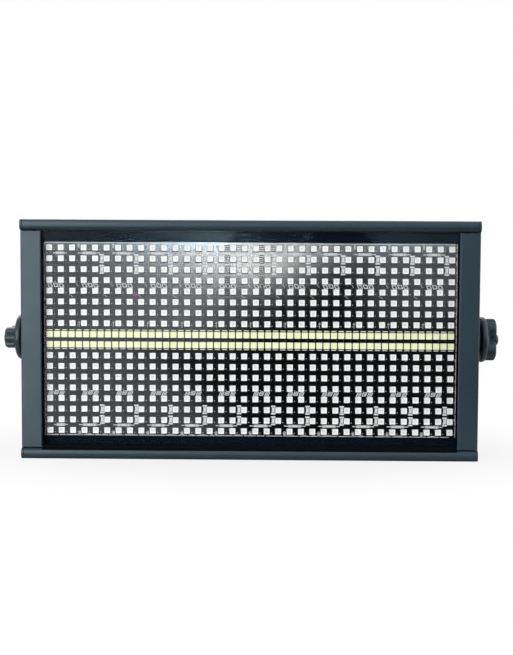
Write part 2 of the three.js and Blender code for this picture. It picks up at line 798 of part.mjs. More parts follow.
function displayWindowSolid() {
  const halfX = displayWidth / 2 + displayLip;
  const halfZ = displayHeight / 2 + displayLip;
  return prism("y",
    rectangle(controlX - halfX, controlX + halfX, displayZ - halfZ, displayZ + halfZ, displayLip / 2),
    coverFace, coverFace + windowThickness);
}

function buttonSolid(x) {
  const flangeBack = coverInner - seat;
  const inner = controlBack + buttonTravel + seat;
  return turned("y", [
    [0, inner],
    [buttonStemRadius, inner],
    [buttonStemRadius, flangeBack - buttonFlange],
    [buttonFlangeRadius, flangeBack - buttonFlange],
    [buttonFlangeRadius, flangeBack],
    [buttonRadius, flangeBack],
    [buttonRadius, coverOuter + buttonProud],
    [0, coverOuter + buttonProud],
  ], smallSides).translate([x, 0, buttonZ]);
}

// Signal sockets, drawn about their own middle line

const socketBlank = () => joined(
  prism("y", rectangle(-socketWidth / 2, socketWidth / 2, -socketHeight / 2, socketHeight / 2, socketCorner),
    coverFace, coverFace + socketFlange),
  prism("y", circle(0, 0, socketBarrelRadius, mediumSides),
    coverInner - socketBarrelLength, coverFace + socketFlange / 2),
);

const pinPlaces = [90, 210, 330].map((degrees) => {
  const angle = THREE.MathUtils.degToRad(degrees);
  return [socketPinCircle * Math.cos(angle), -socketPinCircle * Math.sin(angle)];
});

function pinSocketSolid() {
  const face = coverFace + socketFlange;
  const floor = face - socketBoreDepth;
  const bore = prism("y", circle(0, 0, socketBoreRadius, mediumSides), floor, face + overrun);
  const pins = pinPlaces.map(([x, z]) =>
    prism("y", circle(x, z, socketPinRadius, screwSides), floor - overrun, floor + socketPinLength));
  return joined(without(socketBlank(), bore), ...pins);
}

function holeSocketSolid() {
  const face = coverFace + socketFlange;
  const floor = face - socketBoreDepth;
  const moat = prism("y", circle(0, 0, socketBoreRadius, mediumSides), floor, face + overrun,
    [circle(0, 0, socketInsertRadius, mediumSides)]);
  const holes = pinPlaces.map(([x, z]) =>
    prism("y", circle(x, z, socketHoleRadius, screwSides), face - socketPinLength, face + overrun));
  const latchRoomFront = face - latchLength + latchProud - latchTravel - seat;
  const latchRoom = boxSolid(-latchWidth / 2 - seat, latchWidth / 2 + seat, latchRoomFront, face + overrun,
    latchZ - latchHeight / 2 - seat, latchZ + latchHeight / 2 + seat);
  return without(socketBlank(), moat, ...holes, latchRoom);
}

const latchZ = socketBarrelRadius - latchHeight / 2 - 2 * seat;

function latchSolid() {
  const face = coverFace + socketFlange;
  return boxSolid(-latchWidth / 2, latchWidth / 2, face + latchProud - latchLength, face + latchProud,
    latchZ - latchHeight / 2, latchZ + latchHeight / 2);
}

// Power inlet and outlet, drawn about their own middle line

const recessOutline = (halfX, halfZ) => [
  [-halfX, -halfZ],
  [halfX, -halfZ],
  [halfX, halfZ - inletChamfer],
  [halfX - inletChamfer, halfZ],
  [-halfX + inletChamfer, halfZ],
  [-halfX, halfZ - inletChamfer],
];

const inletBlank = () => joined(
  prism("y", rectangle(-inletWidth / 2, inletWidth / 2, -inletHeight / 2, inletHeight / 2, inletCorner),
    coverFace, coverFace + inletFlange),
  boxSolid(-inletBodyWidth / 2, inletBodyWidth / 2, coverInner - inletBodyLength, coverFace + inletFlange / 2,
    -inletBodyHeight / 2, inletBodyHeight / 2),
);

const bladePlaces = [[-bladeSpread, 0], [bladeSpread, 0], [0, bladeRise]];

const bladeBlock = ([x, z], y0, y1, room) =>
  boxSolid(x - bladeThickness / 2 - room, x + bladeThickness / 2 + room, y0, y1,
    z - bladeWidth / 2 - room, z + bladeWidth / 2 + room);

function powerInletSolid() {
  const face = coverFace + inletFlange;
  const floor = face - inletRecessDepth;
  const recess = prism("y", recessOutline(inletRecessWidth / 2, inletRecessHeight / 2),
    floor, face + overrun);
  const blades = bladePlaces.map((place) => bladeBlock(place, floor - overrun, floor + bladeLength, 0));
  return joined(without(inletBlank(), recess), ...blades);
}

function powerOutletSolid() {
  const face = coverFace + inletFlange;
  const rim = prism("y", recessOutline(inletRecessWidth / 2, inletRecessHeight / 2),
    coverFace + inletFlange / 2, face + overrun,
    [recessOutline(inletRecessWidth / 2 - sheet, inletRecessHeight / 2 - sheet)]);
  const slots = bladePlaces.map((place) => bladeBlock(place, face - bladeLength, face + overrun, seat));
  return without(inletBlank(), rim, ...slots);
}

// Fuse holder, cap and fuse, drawn about their own middle line

const fuseBore = fuseBarrelRadius - fuseWall;
const fuseFloor = coverInner - fuseBarrelLength + fuseWall;

const fuseHolderSolid = () => turned("y", [
  [0, coverInner - fuseBarrelLength],
  [fuseBarrelRadius, coverInner - fuseBarrelLength],
  [fuseBarrelRadius, coverFace],
  [fuseBezelRadius, coverFace],
  [fuseBezelRadius, coverFace + fuseBezel],
  [fuseBore, coverFace + fuseBezel],
  [fuseBore, fuseFloor],
  [0, fuseFloor],
], smallSides);

function fuseCapSolid() {
  const under = coverFace + fuseBezel + seat;
  const socketTop = under - fuseWall;
  const cap = turned("y", [
    [0, socketTop],
    [fuseRadius + seat, socketTop],
    [fuseRadius + seat, under - fuseStemLength],
    [fuseBore - seat, under - fuseStemLength],
    [fuseBore - seat, under],
    [fuseCapRadius, under],
    [fuseCapRadius - fuseWall / 2, under + fuseCapHeight],
    [0, under + fuseCapHeight],
  ], smallSides);
  const slot = boxSolid(-fuseCapRadius, fuseCapRadius,
    under + fuseCapHeight - fuseWall, under + fuseCapHeight + overrun, -fuseWall / 2, fuseWall / 2);
  return cap.subtract(slot);
}

function fuseSolid() {
  const end = coverFace + fuseBezel - fuseWall;
  return prism("y", circle(0, 0, fuseRadius, screwSides), end - fuseLength, end);
}

// Safety eyebolt, its ring lying in the upright plane from front to back

function safetyEyeSolid() {
  const collarBack = coverFace + eyeCollar;
  const ringY = collarBack + eyeRadius + eyeWire / 2;
  const section = Array.from({ length: eyeWireSides + 1 }, (_, i) => {
    const angle = (i / eyeWireSides) * 2 * Math.PI;
    return [eyeRadius + eyeWire * Math.cos(angle), eyeWire * Math.sin(angle)];
  });
  const ring = turned("x", section, mediumSides).translate([0, ringY, 0]);
  const collar = prism("y", circle(0, 0, eyeCollarRadius, smallSides), coverFace, collarBack);
  const shank = prism("y", circle(0, 0, eyeShankRadius, smallSides),
    coverInner - eyeShankLength, coverFace + overrun);
  return joined(ring, collar, shank);
}

// The assembly

const strobe = new THREE.Group();
strobe.name = "strobe_light";

function placed(parent, mesh, x, y, z) {
  mesh.position.set(x, y, z);
  parent.add(mesh);
  return mesh;
}

strobe.add(
  piece("bottom_rail", railSolid(false), paint),
  piece("top_rail", railSolid(true), paint),
  piece("left_side_plate", sidePlateSolid(-1), paint),
  piece("right_side_plate", sidePlateSolid(1), paint),
  piece("front_glass", glassSolid(), clearGlass),
  piece("glass_seal", sealSolid(), foam),
  piece("led_board", ledBoardSolid(), board),
  piece("heat_sink", heatSinkSolid(), aluminium),
  piece("rear_cover", coverSolid(), paint),
  piece("power_supply", powerSupplySolid(), cage),
  piece("control_board", controlBoardSolid(), circuit),
  piece("display_window", displayWindowSolid(), smokedWindow),
);

for (const [side, name] of [[-1, "left"], [1, "right"]]) {
  const fan = new THREE.Group();
  fan.position.set(side * fanX, 0, middleZ);
  fan.add(
    piece(`${name}_fan_frame`, fanFrameSolid(), fanPlastic),
    piece(`${name}_fan_rotor`, fanRotorSolid(), fanPlastic),
    piece(`${name}_fan_guard`, fanGuardSolid(), blackSteel),
  );
  corners4(fanHoleSpacing / 2, fanHoleSpacing / 2).forEach(([x, z], i) => {
    const solid = screw("y", fanScrew, guardBack + seat, 1, false);
    placed(fan, piece(`${name}_fan_screw_${i + 1}`, solid, blackSteel), x, 0, z);
  });
  strobe.add(fan);
}

// Everything on the pivot line points along +X; the left group is turned half round
const pivot = new THREE.Group();
pivot.position.z = pivotZ;
pivot.add(piece("yoke", yokeSolid(), blackSteel));
for (const [name, halfTurn, knobTurn] of [["right", 0, 0], ["left", Math.PI, leftKnobTurn]]) {
  const end = new THREE.Group();
  end.rotation.z = halfTurn;
  const knob = piece(`${name}_knob`, knobSolid(), blackPlastic);
  knob.rotation.x = knobTurn;
  end.add(
    knob,
    piece(`${name}_knob_washer`, ringSolid(washerRadius, washerInner, washerInner + washerThickness), zinc),
    piece(`${name}_friction_disc`, ringSolid(discRadius, discInner, discInner + discThickness), fibre),
    piece(`${name}_pivot_nut`, pivotNutSolid(), zinc),
  );
  pivot.add(end);
}
strobe.add(pivot);

for (const [side, name] of [[-1, "left"], [1, "right"]]) {
  sideScrewPlaces.forEach(([y, z], i) => {
    const seatAt = side * (webOuter - sideScrew.headHeight);
    const fastener = piece(`${name}_side_screw_${i + 1}`, screw("x", sideScrew, seatAt, side, true), zinc);
    placed(strobe, fastener, 0, y, z);
  });
}

corners4(coverScrewX, coverScrewRise).forEach(([x, z], i) => {
  const fastener = piece(`cover_screw_${i + 1}`, screw("y", coverScrew, coverFace, 1, false), blackSteel);
  placed(strobe, fastener, x, 0, middleZ + z);
});

buttonPlaces.forEach(([name, x]) => strobe.add(piece(name, buttonSolid(x), blackPlastic)));

placed(strobe, piece("dmx_in_connector", pinSocketSolid(), blackSteel), socketPlaces[0], 0, socketZ);
placed(strobe, piece("dmx_out_connector", holeSocketSolid(), blackSteel), socketPlaces[1], 0, socketZ);
placed(strobe, piece("dmx_out_latch", latchSolid(), zinc), socketPlaces[1], 0, socketZ);
placed(strobe, piece("power_in_connector", powerInletSolid(), blackPlastic), -panelX, 0, inletPlaces[0]);
placed(strobe, piece("power_out_connector", powerOutletSolid(), blackPlastic), -panelX, 0, inletPlaces[1]);
placed(strobe, piece("fuse_holder", fuseHolderSolid(), blackPlastic), -panelX, 0, fuseZ);
placed(strobe, piece("fuse_cap", fuseCapSolid(), blackPlastic), -panelX, 0, fuseZ);
placed(strobe, piece("fuse", fuseSolid(), fuseGlass), -panelX, 0, fuseZ);
placed(strobe, piece("safety_eye", safetyEyeSolid(), zinc), 0, 0, eyeZ);

export default strobe;
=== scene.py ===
import math
import random

import bpy
from mathutils import Matrix, Vector
from mathutils.geometry import tessellate_polygon


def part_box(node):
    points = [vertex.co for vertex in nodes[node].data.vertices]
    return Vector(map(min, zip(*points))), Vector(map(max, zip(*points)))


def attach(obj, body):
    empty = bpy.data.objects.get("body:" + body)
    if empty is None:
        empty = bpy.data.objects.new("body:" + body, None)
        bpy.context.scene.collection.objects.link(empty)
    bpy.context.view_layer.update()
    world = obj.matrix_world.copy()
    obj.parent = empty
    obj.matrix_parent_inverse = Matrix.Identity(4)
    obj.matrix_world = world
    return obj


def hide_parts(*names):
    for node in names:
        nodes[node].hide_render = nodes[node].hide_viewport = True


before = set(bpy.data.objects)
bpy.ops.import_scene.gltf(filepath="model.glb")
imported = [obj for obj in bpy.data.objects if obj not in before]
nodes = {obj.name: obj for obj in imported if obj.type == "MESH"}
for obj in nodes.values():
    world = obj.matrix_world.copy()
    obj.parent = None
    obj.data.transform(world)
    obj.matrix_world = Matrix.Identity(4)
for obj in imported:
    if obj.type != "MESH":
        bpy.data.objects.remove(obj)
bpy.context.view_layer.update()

MM = 0.001
PIVOT_Z = 104
FAN_X = 45
scene = bpy.context.scene


def low(node):
    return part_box(node)[0] / MM


def high(node):
    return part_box(node)[1] / MM


def centre_of(node):
    """The middle of a CAD node as seen from the front."""
    return (low(node).x + high(node).x) / 2, (low(node).z + high(node).z) / 2


def angles(count):
    return [2 * math.pi * i / count for i in range(count)]


def circle(radius, count):
    return [(radius * math.sin(t), radius * math.cos(t)) for t in angles(count)]


# Meshes in millimetres

class Shape:
    """Points, faces, and for each face the number of its material."""
    def __init__(self):
        self.points, self.faces, self.kinds = [], [], []

    def add(self, points, faces, kind=0):
        """The kind is one number, or a list with a number for each face."""
        first = len(self.points)
        self.points.extend(tuple(p) for p in points)
        self.faces.extend(tuple(first + i for i in face) for face in faces)
        self.kinds.extend(kind if isinstance(kind, list) else [kind] * len(faces))

    def join(self, other, matrix):
        self.add([matrix @ Vector(p) for p in other.points], other.faces, other.kinds)

    def box(self, x0, x1, y0, y1, z0, z1, kind=0):
        points = [(x, y, z) for x in (x0, x1) for y in (y0, y1) for z in (z0, z1)]
        faces = [(0, 1, 3, 2), (4, 6, 7, 5), (0, 4, 5, 1), (2, 3, 7, 6), (0, 2, 6, 4), (1, 5, 7, 3)]
        self.add(points, faces, kind)

    def loft(self, rings, kind=0, cap_start=True, cap_end=True):
        """Closed rings of the same length, one after another. The kind can be a list for the steps."""
        count, steps = len(rings[0]), len(rings) - 1
        step_kinds = kind if isinstance(kind, list) else [kind] * steps
        faces, kinds = [], []
        for a, step_kind in zip(range(0, steps * count, count), step_kinds):
            b = a + count
            faces += [(a + i, a + (i + 1) % count, b + (i + 1) % count, b + i) for i in range(count)]
            kinds += [step_kind] * count
        if cap_start:
            faces.append(tuple(reversed(range(count))))
            kinds.append(step_kinds[0])
        if cap_end:
            faces.append(tuple(range(steps * count, (steps + 1) * count)))
            kinds.append(step_kinds[-1])
        self.add([p for ring in rings for p in ring], faces, kinds)

    def turned(self, axis, profile, sides, centre=(0, 0, 0), kind=0):
        """A profile of (radius, place along the axis). A radius of nought closes it."""
        self.loft([[around(axis, along, max(radius, 1e-4), t, centre) for t in angles(sides)]
                   for radius, along in profile], kind)

    def tube(self, path, radius, sides=10, closed=False):
        rings, side, count = [], None, len(path)
        path = [Vector(p) for p in path]
        for i, p in enumerate(path):
            before = path[i - 1 if closed else max(i - 1, 0)]
            after = path[(i + 1) % count if closed else min(i + 1, count - 1)]
            along = (after - before).normalized()
            if side is None:
                side = along.orthogonal().normalized()
            side = (side - along * side.dot(along)).normalized()
            up = along.cross(side)
            rings.append([tuple(p + radius * (math.cos(t) * side + math.sin(t) * up)) for t in angles(sides)])
        if closed:
            rings.append(rings[0])
        self.loft(rings, cap_start=not closed, cap_end=not closed)


def around(axis, along, radius, angle, centre=(0, 0, 0)):
    """A point on a circle round a line along x or y."""
    c, s = radius * math.cos(angle), radius * math.sin(angle)
    x, y, z = centre
    if axis == "x":
        return (x + along, y + c, z + s)
    return (x + s, y + along, z + c)


def rounded(half_u, half_v, radius, steps):
    """Points round a rectangle with rounded corners, counter-clockwise from the lower right."""
    points = []
    for turn, (cu, cv) in enumerate(((1, -1), (1, 1), (-1, 1), (-1, -1))):
        for step in range(steps + 1):
            angle = math.pi / 2 * (turn - 1 + step / steps)
            points.append((cu * (half_u - radius) + radius * math.cos(angle),
                           cv * (half_v - radius) + radius * math.sin(angle)))
    return points


def placed(name, data):
    made = bpy.data.objects.new(name, data)
    scene.collection.objects.link(made)
    return made


def piece(name, shape, materials, body="housing", replaces=(), smooth=35, bevel=0):
    """Make a shape into an object. Edges sharper than smooth, in degrees, stay sharp."""
    mesh = bpy.data.meshes.new(name)
    mesh.from_pydata([(x * MM, y * MM, z * MM) for x, y, z in shape.points], [], shape.faces)
    for material in materials:
        mesh.materials.append(material)
    mesh.polygons.foreach_set("material_index", shape.kinds)
    mesh.update()
    mesh.shade_smooth()
    mesh.set_sharp_from_angle(angle=math.radians(smooth))
    made = placed(name, mesh)
    if bevel:
        add_bevel(made, bevel)
    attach(made, body)
    if replaces:
        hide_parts(*replaces)


def add_bevel(obj, width):
    bevel = obj.modifiers.new("edges", "BEVEL")
    bevel.width = width * MM
    bevel.segments = 2
    bevel.limit_method = "ANGLE"
    bevel.angle_limit = math.radians(30)
    bevel.harden_normals = True
    bevel.miter_outer = "MITER_ARC"


# Node trees

class Tree:
    """Adds nodes to one node tree."""
    def __init__(self, tree):
        self.tree = tree
        tree.nodes.clear()

    def node(self, kind, **settings):
        """Each setting is an input of the node, or else a property of it."""
        made = self.tree.nodes.new(kind)
        for key, value in settings.items():
            if key in made.inputs:
                made.inputs[key].default_value = value
            else:
                setattr(made, key, value)
        return made

    def link(self, a, b):
        self.tree.links.new(a, b)

    def fill(self, socket, value):
        """Set a colour or a number on a socket, or link an output to it."""
        if isinstance(value, tuple):
            socket.default_value = (*value, 1.0)
        elif isinstance(value, (int, float)):
            socket.default_value = value
        else:
            self.link(value, socket)

    def math(self, operation, *values):
        """More than two values are taken in turn."""
        made = self.node("ShaderNodeMath", operation=operation)
        for socket, value in zip(made.inputs, values[:2]):
            self.fill(socket, value)
        total = made.outputs[0]
        return self.math(operation, total, *values[2:]) if len(values) > 2 else total

    def ranged(self, *numbers, smooth=False):
        """The value, two ends that it goes between, and the two that they become."""
        made = self.node("ShaderNodeMapRange", interpolation_type="SMOOTHSTEP" if smooth else "LINEAR")
        for socket, number in zip(made.inputs, numbers):
            self.fill(socket, number)
        return made.outputs[0]

    def mixed(self, factor, a, b):
        """Shader a where the factor is nought, and b where it is one."""
        made = self.node("ShaderNodeMixShader")
        self.link(factor, made.inputs[0])
        self.link(a.outputs[0], made.inputs[1])
        self.link(b.outputs[0], made.inputs[2])
        return made


# A CAD node keeps its mesh and gets joined corners, smooth curves and small rounded edges

def smooth_group():
    group = bpy.data.node_groups.new("smooth_by_angle", "GeometryNodeTree")
    for way in ("INPUT", "OUTPUT"):
        group.interface.new_socket("Geometry", in_out=way, socket_type="NodeSocketGeometry")
    tree = Tree(group)
    steps = [tree.node("NodeGroupInput"),
             tree.node("GeometryNodeRemoveAttribute", Name="custom_normal"),
             tree.node("GeometryNodeMergeByDistance", Distance=2e-6),
             tree.node("GeometryNodeSetShadeSmooth", domain="FACE"),
             tree.node("GeometryNodeSetShadeSmooth", domain="EDGE"),
             tree.node("NodeGroupOutput")]
    for a, b in zip(steps, steps[1:]):
        tree.link(a.outputs["Geometry"], b.inputs["Geometry"])
    angle = tree.node("GeometryNodeInputMeshEdgeAngle")
    soft = tree.node("FunctionNodeCompare", data_type="FLOAT", operation="LESS_THAN")
    soft.inputs[1].default_value = math.radians(32)
    tree.link(angle.outputs["Unsigned Angle"], soft.inputs[0])
    tree.link(soft.outputs["Result"], steps[4].inputs["Shade Smooth"])
    return group


SMOOTH = smooth_group()


def dress(node, material, edge):
    obj = nodes[node]
    for place in obj.material_slots:
        place.material = material
    obj.modifiers.new("smooth", "NODES").node_group = SMOOTH
    flat = obj.modifiers.new("flat", "DECIMATE")
    flat.decimate_type = "DISSOLVE"
    flat.angle_limit = math.radians(1.5)
    add_bevel(obj, edge)
    even = obj.modifiers.new("even", "WEIGHTED_NORMAL")
    even.keep_sharp = True
    even.weight = 100


# Materials

class Look(Tree):
    """A material with one main shader, whose colour, roughness and bump come from noise."""
    def __init__(self, name, **values):
        self.material = bpy.data.materials.new(name)
        self.material.use_nodes = True
        super().__init__(self.material.node_tree)
        self.out = self.node("ShaderNodeOutputMaterial")
        self.shader = self.node("ShaderNodeBsdfPrincipled")
        self.link(self.shader.outputs[0], self.out.inputs["Surface"])
        self.place = self.node("ShaderNodeTexCoord").outputs["Object"]
        for key, value in values.items():
            self.fill(self.shader.inputs[key.replace("_", " ")], value)

    def noise(self, scale, detail=3.0, rough=0.5, place=None):
        made = self.node("ShaderNodeTexNoise", Scale=scale, Detail=detail, Roughness=rough)
        self.link(place or self.place, made.inputs["Vector"])
        return made.outputs["Fac"]

    def mix(self, factor, a, b):
        made = self.node("ShaderNodeMix", data_type="RGBA")
        amount = [s for s in made.inputs if s.type == "VALUE"][0]
        ends = [s for s in made.inputs if s.type == "RGBA"]
        for socket, value in zip([amount] + ends, (factor, a, b)):
            self.fill(socket, value)
        return [s for s in made.outputs if s.type == "RGBA"][0]

    def colour(self, output):
        self.link(output, self.shader.inputs["Base Color"])

    def roughness(self, output):
        self.link(output, self.shader.inputs["Roughness"])

    def bump(self, height, distance, strength):
        made = self.node("ShaderNodeBump", Strength=strength, Distance=distance * MM)
        self.link(height, made.inputs["Height"])
        self.link(made.outputs[0], self.shader.inputs["Normal"])

    def worn(self, colour, edge, amount):
        """Edges show a paler colour, broken up by noise."""
        soft = self.node("ShaderNodeBevel", Radius=0.5 * MM, samples=4)
        near = self.node("ShaderNodeVectorMath", operation="DOT_PRODUCT")
        self.link(soft.outputs[0], near.inputs[0])
        self.link(self.node("ShaderNodeNewGeometry").outputs["Normal"], near.inputs[1])
        rim = self.ranged(near.outputs["Value"], 0.99, 0.93, 0, 1)
        broken = self.ranged(self.noise(600, 4), 0.42, 0.62, 0, amount)
        return self.mix(self.math("MULTIPLY", rim, broken), colour, edge)


def powder_coat(name, dark, pale, rough):
    look = Look(name, IOR=1.55, Specular_Tint=(0.82, 0.94, 1.0))
    speck = look.noise(900, 2, 0.6)
    cloud = look.noise(18, 4, 0.6)
    base = look.mix(look.ranged(speck, 0.35, 0.68, 0, 1), dark, pale)
    base = look.mix(look.ranged(cloud, 0.35, 0.7, 0, 0.22), base, tuple(c * 1.5 for c in pale))
    look.colour(look.worn(base, tuple(min(1, c * 3.5) for c in pale), 0.5))
    smudge = look.noise(42, 5, 0.65)
    look.roughness(look.ranged(smudge, 0.3, 0.75, rough - 0.05, rough + 0.07))
    look.bump(speck, 0.045, 0.7)
    return look.material


def moulded(name, dark, pale, rough, grain=1500, ior=1.5):
    look = Look(name, IOR=ior)
    speck = look.noise(grain, 2, 0.5)
    cloud = look.noise(60, 3, 0.6)
    base = look.mix(look.ranged(cloud, 0.3, 0.75, 0, 1), dark, pale)
    look.colour(look.worn(base, tuple(min(1, c * 3) for c in pale), 0.35))
    look.roughness(look.ranged(cloud, 0.3, 0.7, rough - 0.05, rough + 0.08))
    look.bump(speck, 0.02, 0.6)
    return look.material


def metal(name, dark, pale, rough, stretch=(1, 1, 1), metallic=1.0):
    look = Look(name, Metallic=metallic)
    place = look.node("ShaderNodeMapping", Scale=stretch)
    look.link(look.place, place.inputs["Vector"])
    grainy = look.noise(700, 4, 0.6, place.outputs[0])
    cloud = look.noise(45, 4, 0.6)
    base = look.mix(look.ranged(cloud, 0.3, 0.72, 0, 1), dark, pale)
    look.colour(look.mix(look.ranged(grainy, 0.35, 0.7, 0, 0.3), base, tuple(c * 0.7 for c in dark)))
    look.roughness(look.ranged(grainy, 0.3, 0.7, rough - 0.08, rough + 0.1))
    look.bump(grainy, 0.015, 0.5)
    return look.material


def clear_glass():
    """Glass that lets the lamps through."""
    look = Look("front_glass", Transmission_Weight=1.0, IOR=1.1, Roughness=0.0, Base_Color=(1.0, 1.0, 1.0))
    shadow = look.node("ShaderNodeLightPath").outputs["Is Shadow Ray"]
    both = look.mixed(shadow, look.shader, look.node("ShaderNodeBsdfTransparent"))
    look.link(both.outputs[0], look.out.inputs["Surface"])
    return look.material


def speckled(name, dark, pale, noise, rough, **values):
    """Colour and roughness that both follow one noise of (scale, detail, roughness)."""
    look = Look(name, **values)
    fine = look.noise(*noise)
    look.colour(look.mix(look.ranged(fine, 0.3, 0.7, 0, 1), dark, pale))
    look.roughness(look.ranged(fine, 0.3, 0.7, *rough))
    return look.material


paint = powder_coat("housing_paint", (0.009, 0.022, 0.033), (0.016, 0.032, 0.044), rough=0.36)
# The yoke's paint is lighter than the housing's: its own colour with painted light added, lifting its shaded
# end beside the knob
bracket_paint_and_painted_light = powder_coat("bracket_paint_and_painted_light", (0.018, 0.029, 0.038), (0.028, 0.042, 0.053), rough=0.5)
knob_plastic = moulded("knob_plastic", (0.012, 0.026, 0.036), (0.022, 0.040, 0.052), rough=0.38)
black_plastic = moulded("black_plastic", (0.010, 0.011, 0.012), (0.020, 0.021, 0.022), rough=0.42)
fan_plastic = moulded("fan_plastic", (0.008, 0.009, 0.010), (0.016, 0.017, 0.018), rough=0.5)
rubber = moulded("seal_foam", (0.006, 0.007, 0.008), (0.012, 0.013, 0.014), rough=0.85, grain=2600)
zinc = metal("zinc_steel", (0.46, 0.47, 0.47), (0.62, 0.62, 0.60), rough=0.34)
black_steel = metal("black_steel", (0.05, 0.052, 0.056), (0.09, 0.093, 0.098), rough=0.42, metallic=0.7)
aluminium = metal("sink_aluminium", (0.50, 0.51, 0.52), (0.66, 0.67, 0.68), rough=0.36, stretch=(1, 1, 0.05))
cage_steel = metal("supply_cage", (0.42, 0.43, 0.44), (0.58, 0.59, 0.60), rough=0.38, stretch=(0.06, 1, 1))
fibre = moulded("fibre", (0.020, 0.019, 0.017), (0.036, 0.034, 0.030), rough=0.8, grain=2200)
glass = clear_glass()


# LED board

def board_look():
    look = Look("board_mask", IOR=2.1)
    cloud = look.noise(26, 4, 0.6)
    fine = look.noise(420, 3, 0.5)
    look.colour(look.mix(look.ranged(cloud, 0.3, 0.7, 0, 1), (0.002, 0.0026, 0.003), (0.004, 0.0046, 0.004)))
    look.roughness(look.ranged(fine, 0.3, 0.7, 0.05, 0.09))
    look.bump(fine, 0.002, 0.3)
    return look.material


def print_look(name, dark, pale):
    return speckled(name, dark, pale, (800, 4, 0.6), (0.4, 0.6))


def led_look(name, dark, pale, rough):
    return speckled(name, dark, pale, (95, 2, 0.5), (rough, rough + 0.1))


board_mask = board_look()
INK, TIN, PART, RESISTOR, MATT, CREAM, MAGENTA_REFLECTION = range(7)
board_prints = [print_look(*values) for values in (
    ("board_print", (0.42, 0.43, 0.42), (0.66, 0.67, 0.65)),
    ("board_tin", (0.55, 0.56, 0.55), (0.80, 0.80, 0.78)),
    ("board_part", (0.020, 0.020, 0.021), (0.05, 0.05, 0.05)),
    ("board_resistor", (0.36, 0.37, 0.37), (0.52, 0.53, 0.52)),
    ("board_matt", (0.010, 0.011, 0.012), (0.018, 0.019, 0.020)),
    ("cream_print", (0.62, 0.62, 0.46), (0.80, 0.79, 0.62)),
    # A magenta colour for the painted reflections on the board
    ("painted_magenta_reflection", (0.30, 0.01, 0.12), (0.45, 0.02, 0.20)),
)]
led_white = led_look("led_white", (0.95, 0.94, 0.92), (0.98, 0.97, 0.95), 0.35)
led_epoxy = led_look("led_epoxy", (0.76, 0.76, 0.74), (0.86, 0.86, 0.84), 0.25)
led_chip = print_look("led_chip", (0.66, 0.64, 0.54), (0.78, 0.76, 0.66))
phosphor = led_look("led_phosphor", (0.90, 0.90, 0.50), (0.96, 0.955, 0.60), 0.3)
phosphor_frame = led_look("led_cream_frame", (0.80, 0.80, 0.60), (0.88, 0.88, 0.70), 0.4)

# The RGB LEDs stand in two blocks of rows, counted from the top, with the white LEDs between the blocks
BOARD_LOW, BOARD_HIGH = low("led_board"), high("led_board")
LED_TOP = BOARD_LOW.y
BOARD_FACE = LED_TOP + 1.6
MIDDLE_Z = (BOARD_LOW.z + BOARD_HIGH.z) / 2
COLUMNS, WHITE_COLUMNS, BLOCK_ROWS = 36, 56, 8
MARGIN_X, MARGIN_Z, BLOCK_START = 4, 5.1, 14.1
PITCH_X = 2 * (BOARD_HIGH.x - MARGIN_X) / (COLUMNS - 1)
PITCH_Z = (BOARD_HIGH.z - MARGIN_Z - MIDDLE_Z - BLOCK_START) / (BLOCK_ROWS - 1)
ROWS = [MIDDLE_Z + BLOCK_START + PITCH_Z * r for r in reversed(range(BLOCK_ROWS))]
ROWS += [MIDDLE_Z - BLOCK_START - PITCH_Z * r for r in range(BLOCK_ROWS)]


def column(c):
    return (c - (COLUMNS - 1) / 2) * PITCH_X


def every_third(first, count=11):
    """Small parts repeat every three columns."""
    return [column(first + 3 * k) for k in range(count)]


def package(size, corner, hole, hole_corner, depth):
    """One LED package, its face at nought and its body behind it."""
    half, slope = size / 2, 0.15
    outer = rounded(half, half, corner, 2)
    inset = rounded(half - 0.15, half - 0.15, corner - 0.1, 2)
    mouth = rounded(hole, hole, hole_corner, 2)
    base = rounded(hole - slope, hole - slope, hole_corner - slope * 0.9, 2)
    rings = [[(u, y, v) for u, v in ring]
             for ring, y in ((outer, 1.55), (outer, 0.15), (inset, 0), (mouth, 0), (base, depth))]
    shape = Shape()
    shape.loft(rings, cap_start=False, cap_end=False)
    shape.add(rings[-1], [tuple(range(len(base)))], 1)
    return shape


def packages(one, places):
    shape = Shape()
    for x, z in places:
        shape.join(one, Matrix.Translation((x, LED_TOP, z)))
    return shape


rgb = package(5.0, 0.35, 1.5, 0.8, 0.35)
for u, v in ((-0.6, 0.35), (0.0, -0.5), (0.6, 0.35)):
    rgb.box(u - 0.25, u + 0.25, 0.27, 0.36, v - 0.18, v + 0.18, 2)
rgb.box(-2.1, -1.5, 0, 0.02, 1.5, 2.1, 1)
white = package(5.4, 0.4, 2.3, 0.7, 0.2)

rgb_places = [(column(c), z) for z in ROWS for c in range(COLUMNS)]
WHITE_PITCH = (COLUMNS - 1) * PITCH_X / (WHITE_COLUMNS - 1)
white_places = [((c - (WHITE_COLUMNS - 1) / 2) * WHITE_PITCH, MIDDLE_Z + s * 4.42)
                for s in (1, -1) for c in range(WHITE_COLUMNS)]
piece("rgb_leds", packages(rgb, rgb_places), [led_white, led_epoxy, led_chip])
piece("white_leds", packages(white, white_places), [phosphor_frame, phosphor])

panel = Shape()
panel_outline = rounded(BOARD_HIGH.x + 1.2, (BOARD_HIGH.z - BOARD_LOW.z) / 2, 1.5, 4)
panel.loft([[(u * s, y, MIDDLE_Z + v * s) for u, v in panel_outline]
            for y, s in ((BOARD_HIGH.y, 1), (BOARD_FACE + 0.15, 1), (BOARD_FACE, 0.9992))])
piece("board_panel", panel, [board_mask], replaces=("led_board",))

art = Shape()
chance = random.Random(7)
PRINT_HEIGHT, PRINT_ROOT = 0.05, 0.02


def flat(x0, x1, z0, z1, kind=INK, height=PRINT_HEIGHT):
    art.box(x0, x1, BOARD_FACE - height, BOARD_FACE + PRINT_ROOT, z0, z1, kind)


def centred(x, z, width, tall, kind=INK, height=PRINT_HEIGHT):
    flat(x - width / 2, x + width / 2, z - tall / 2, z + tall / 2, kind, height)


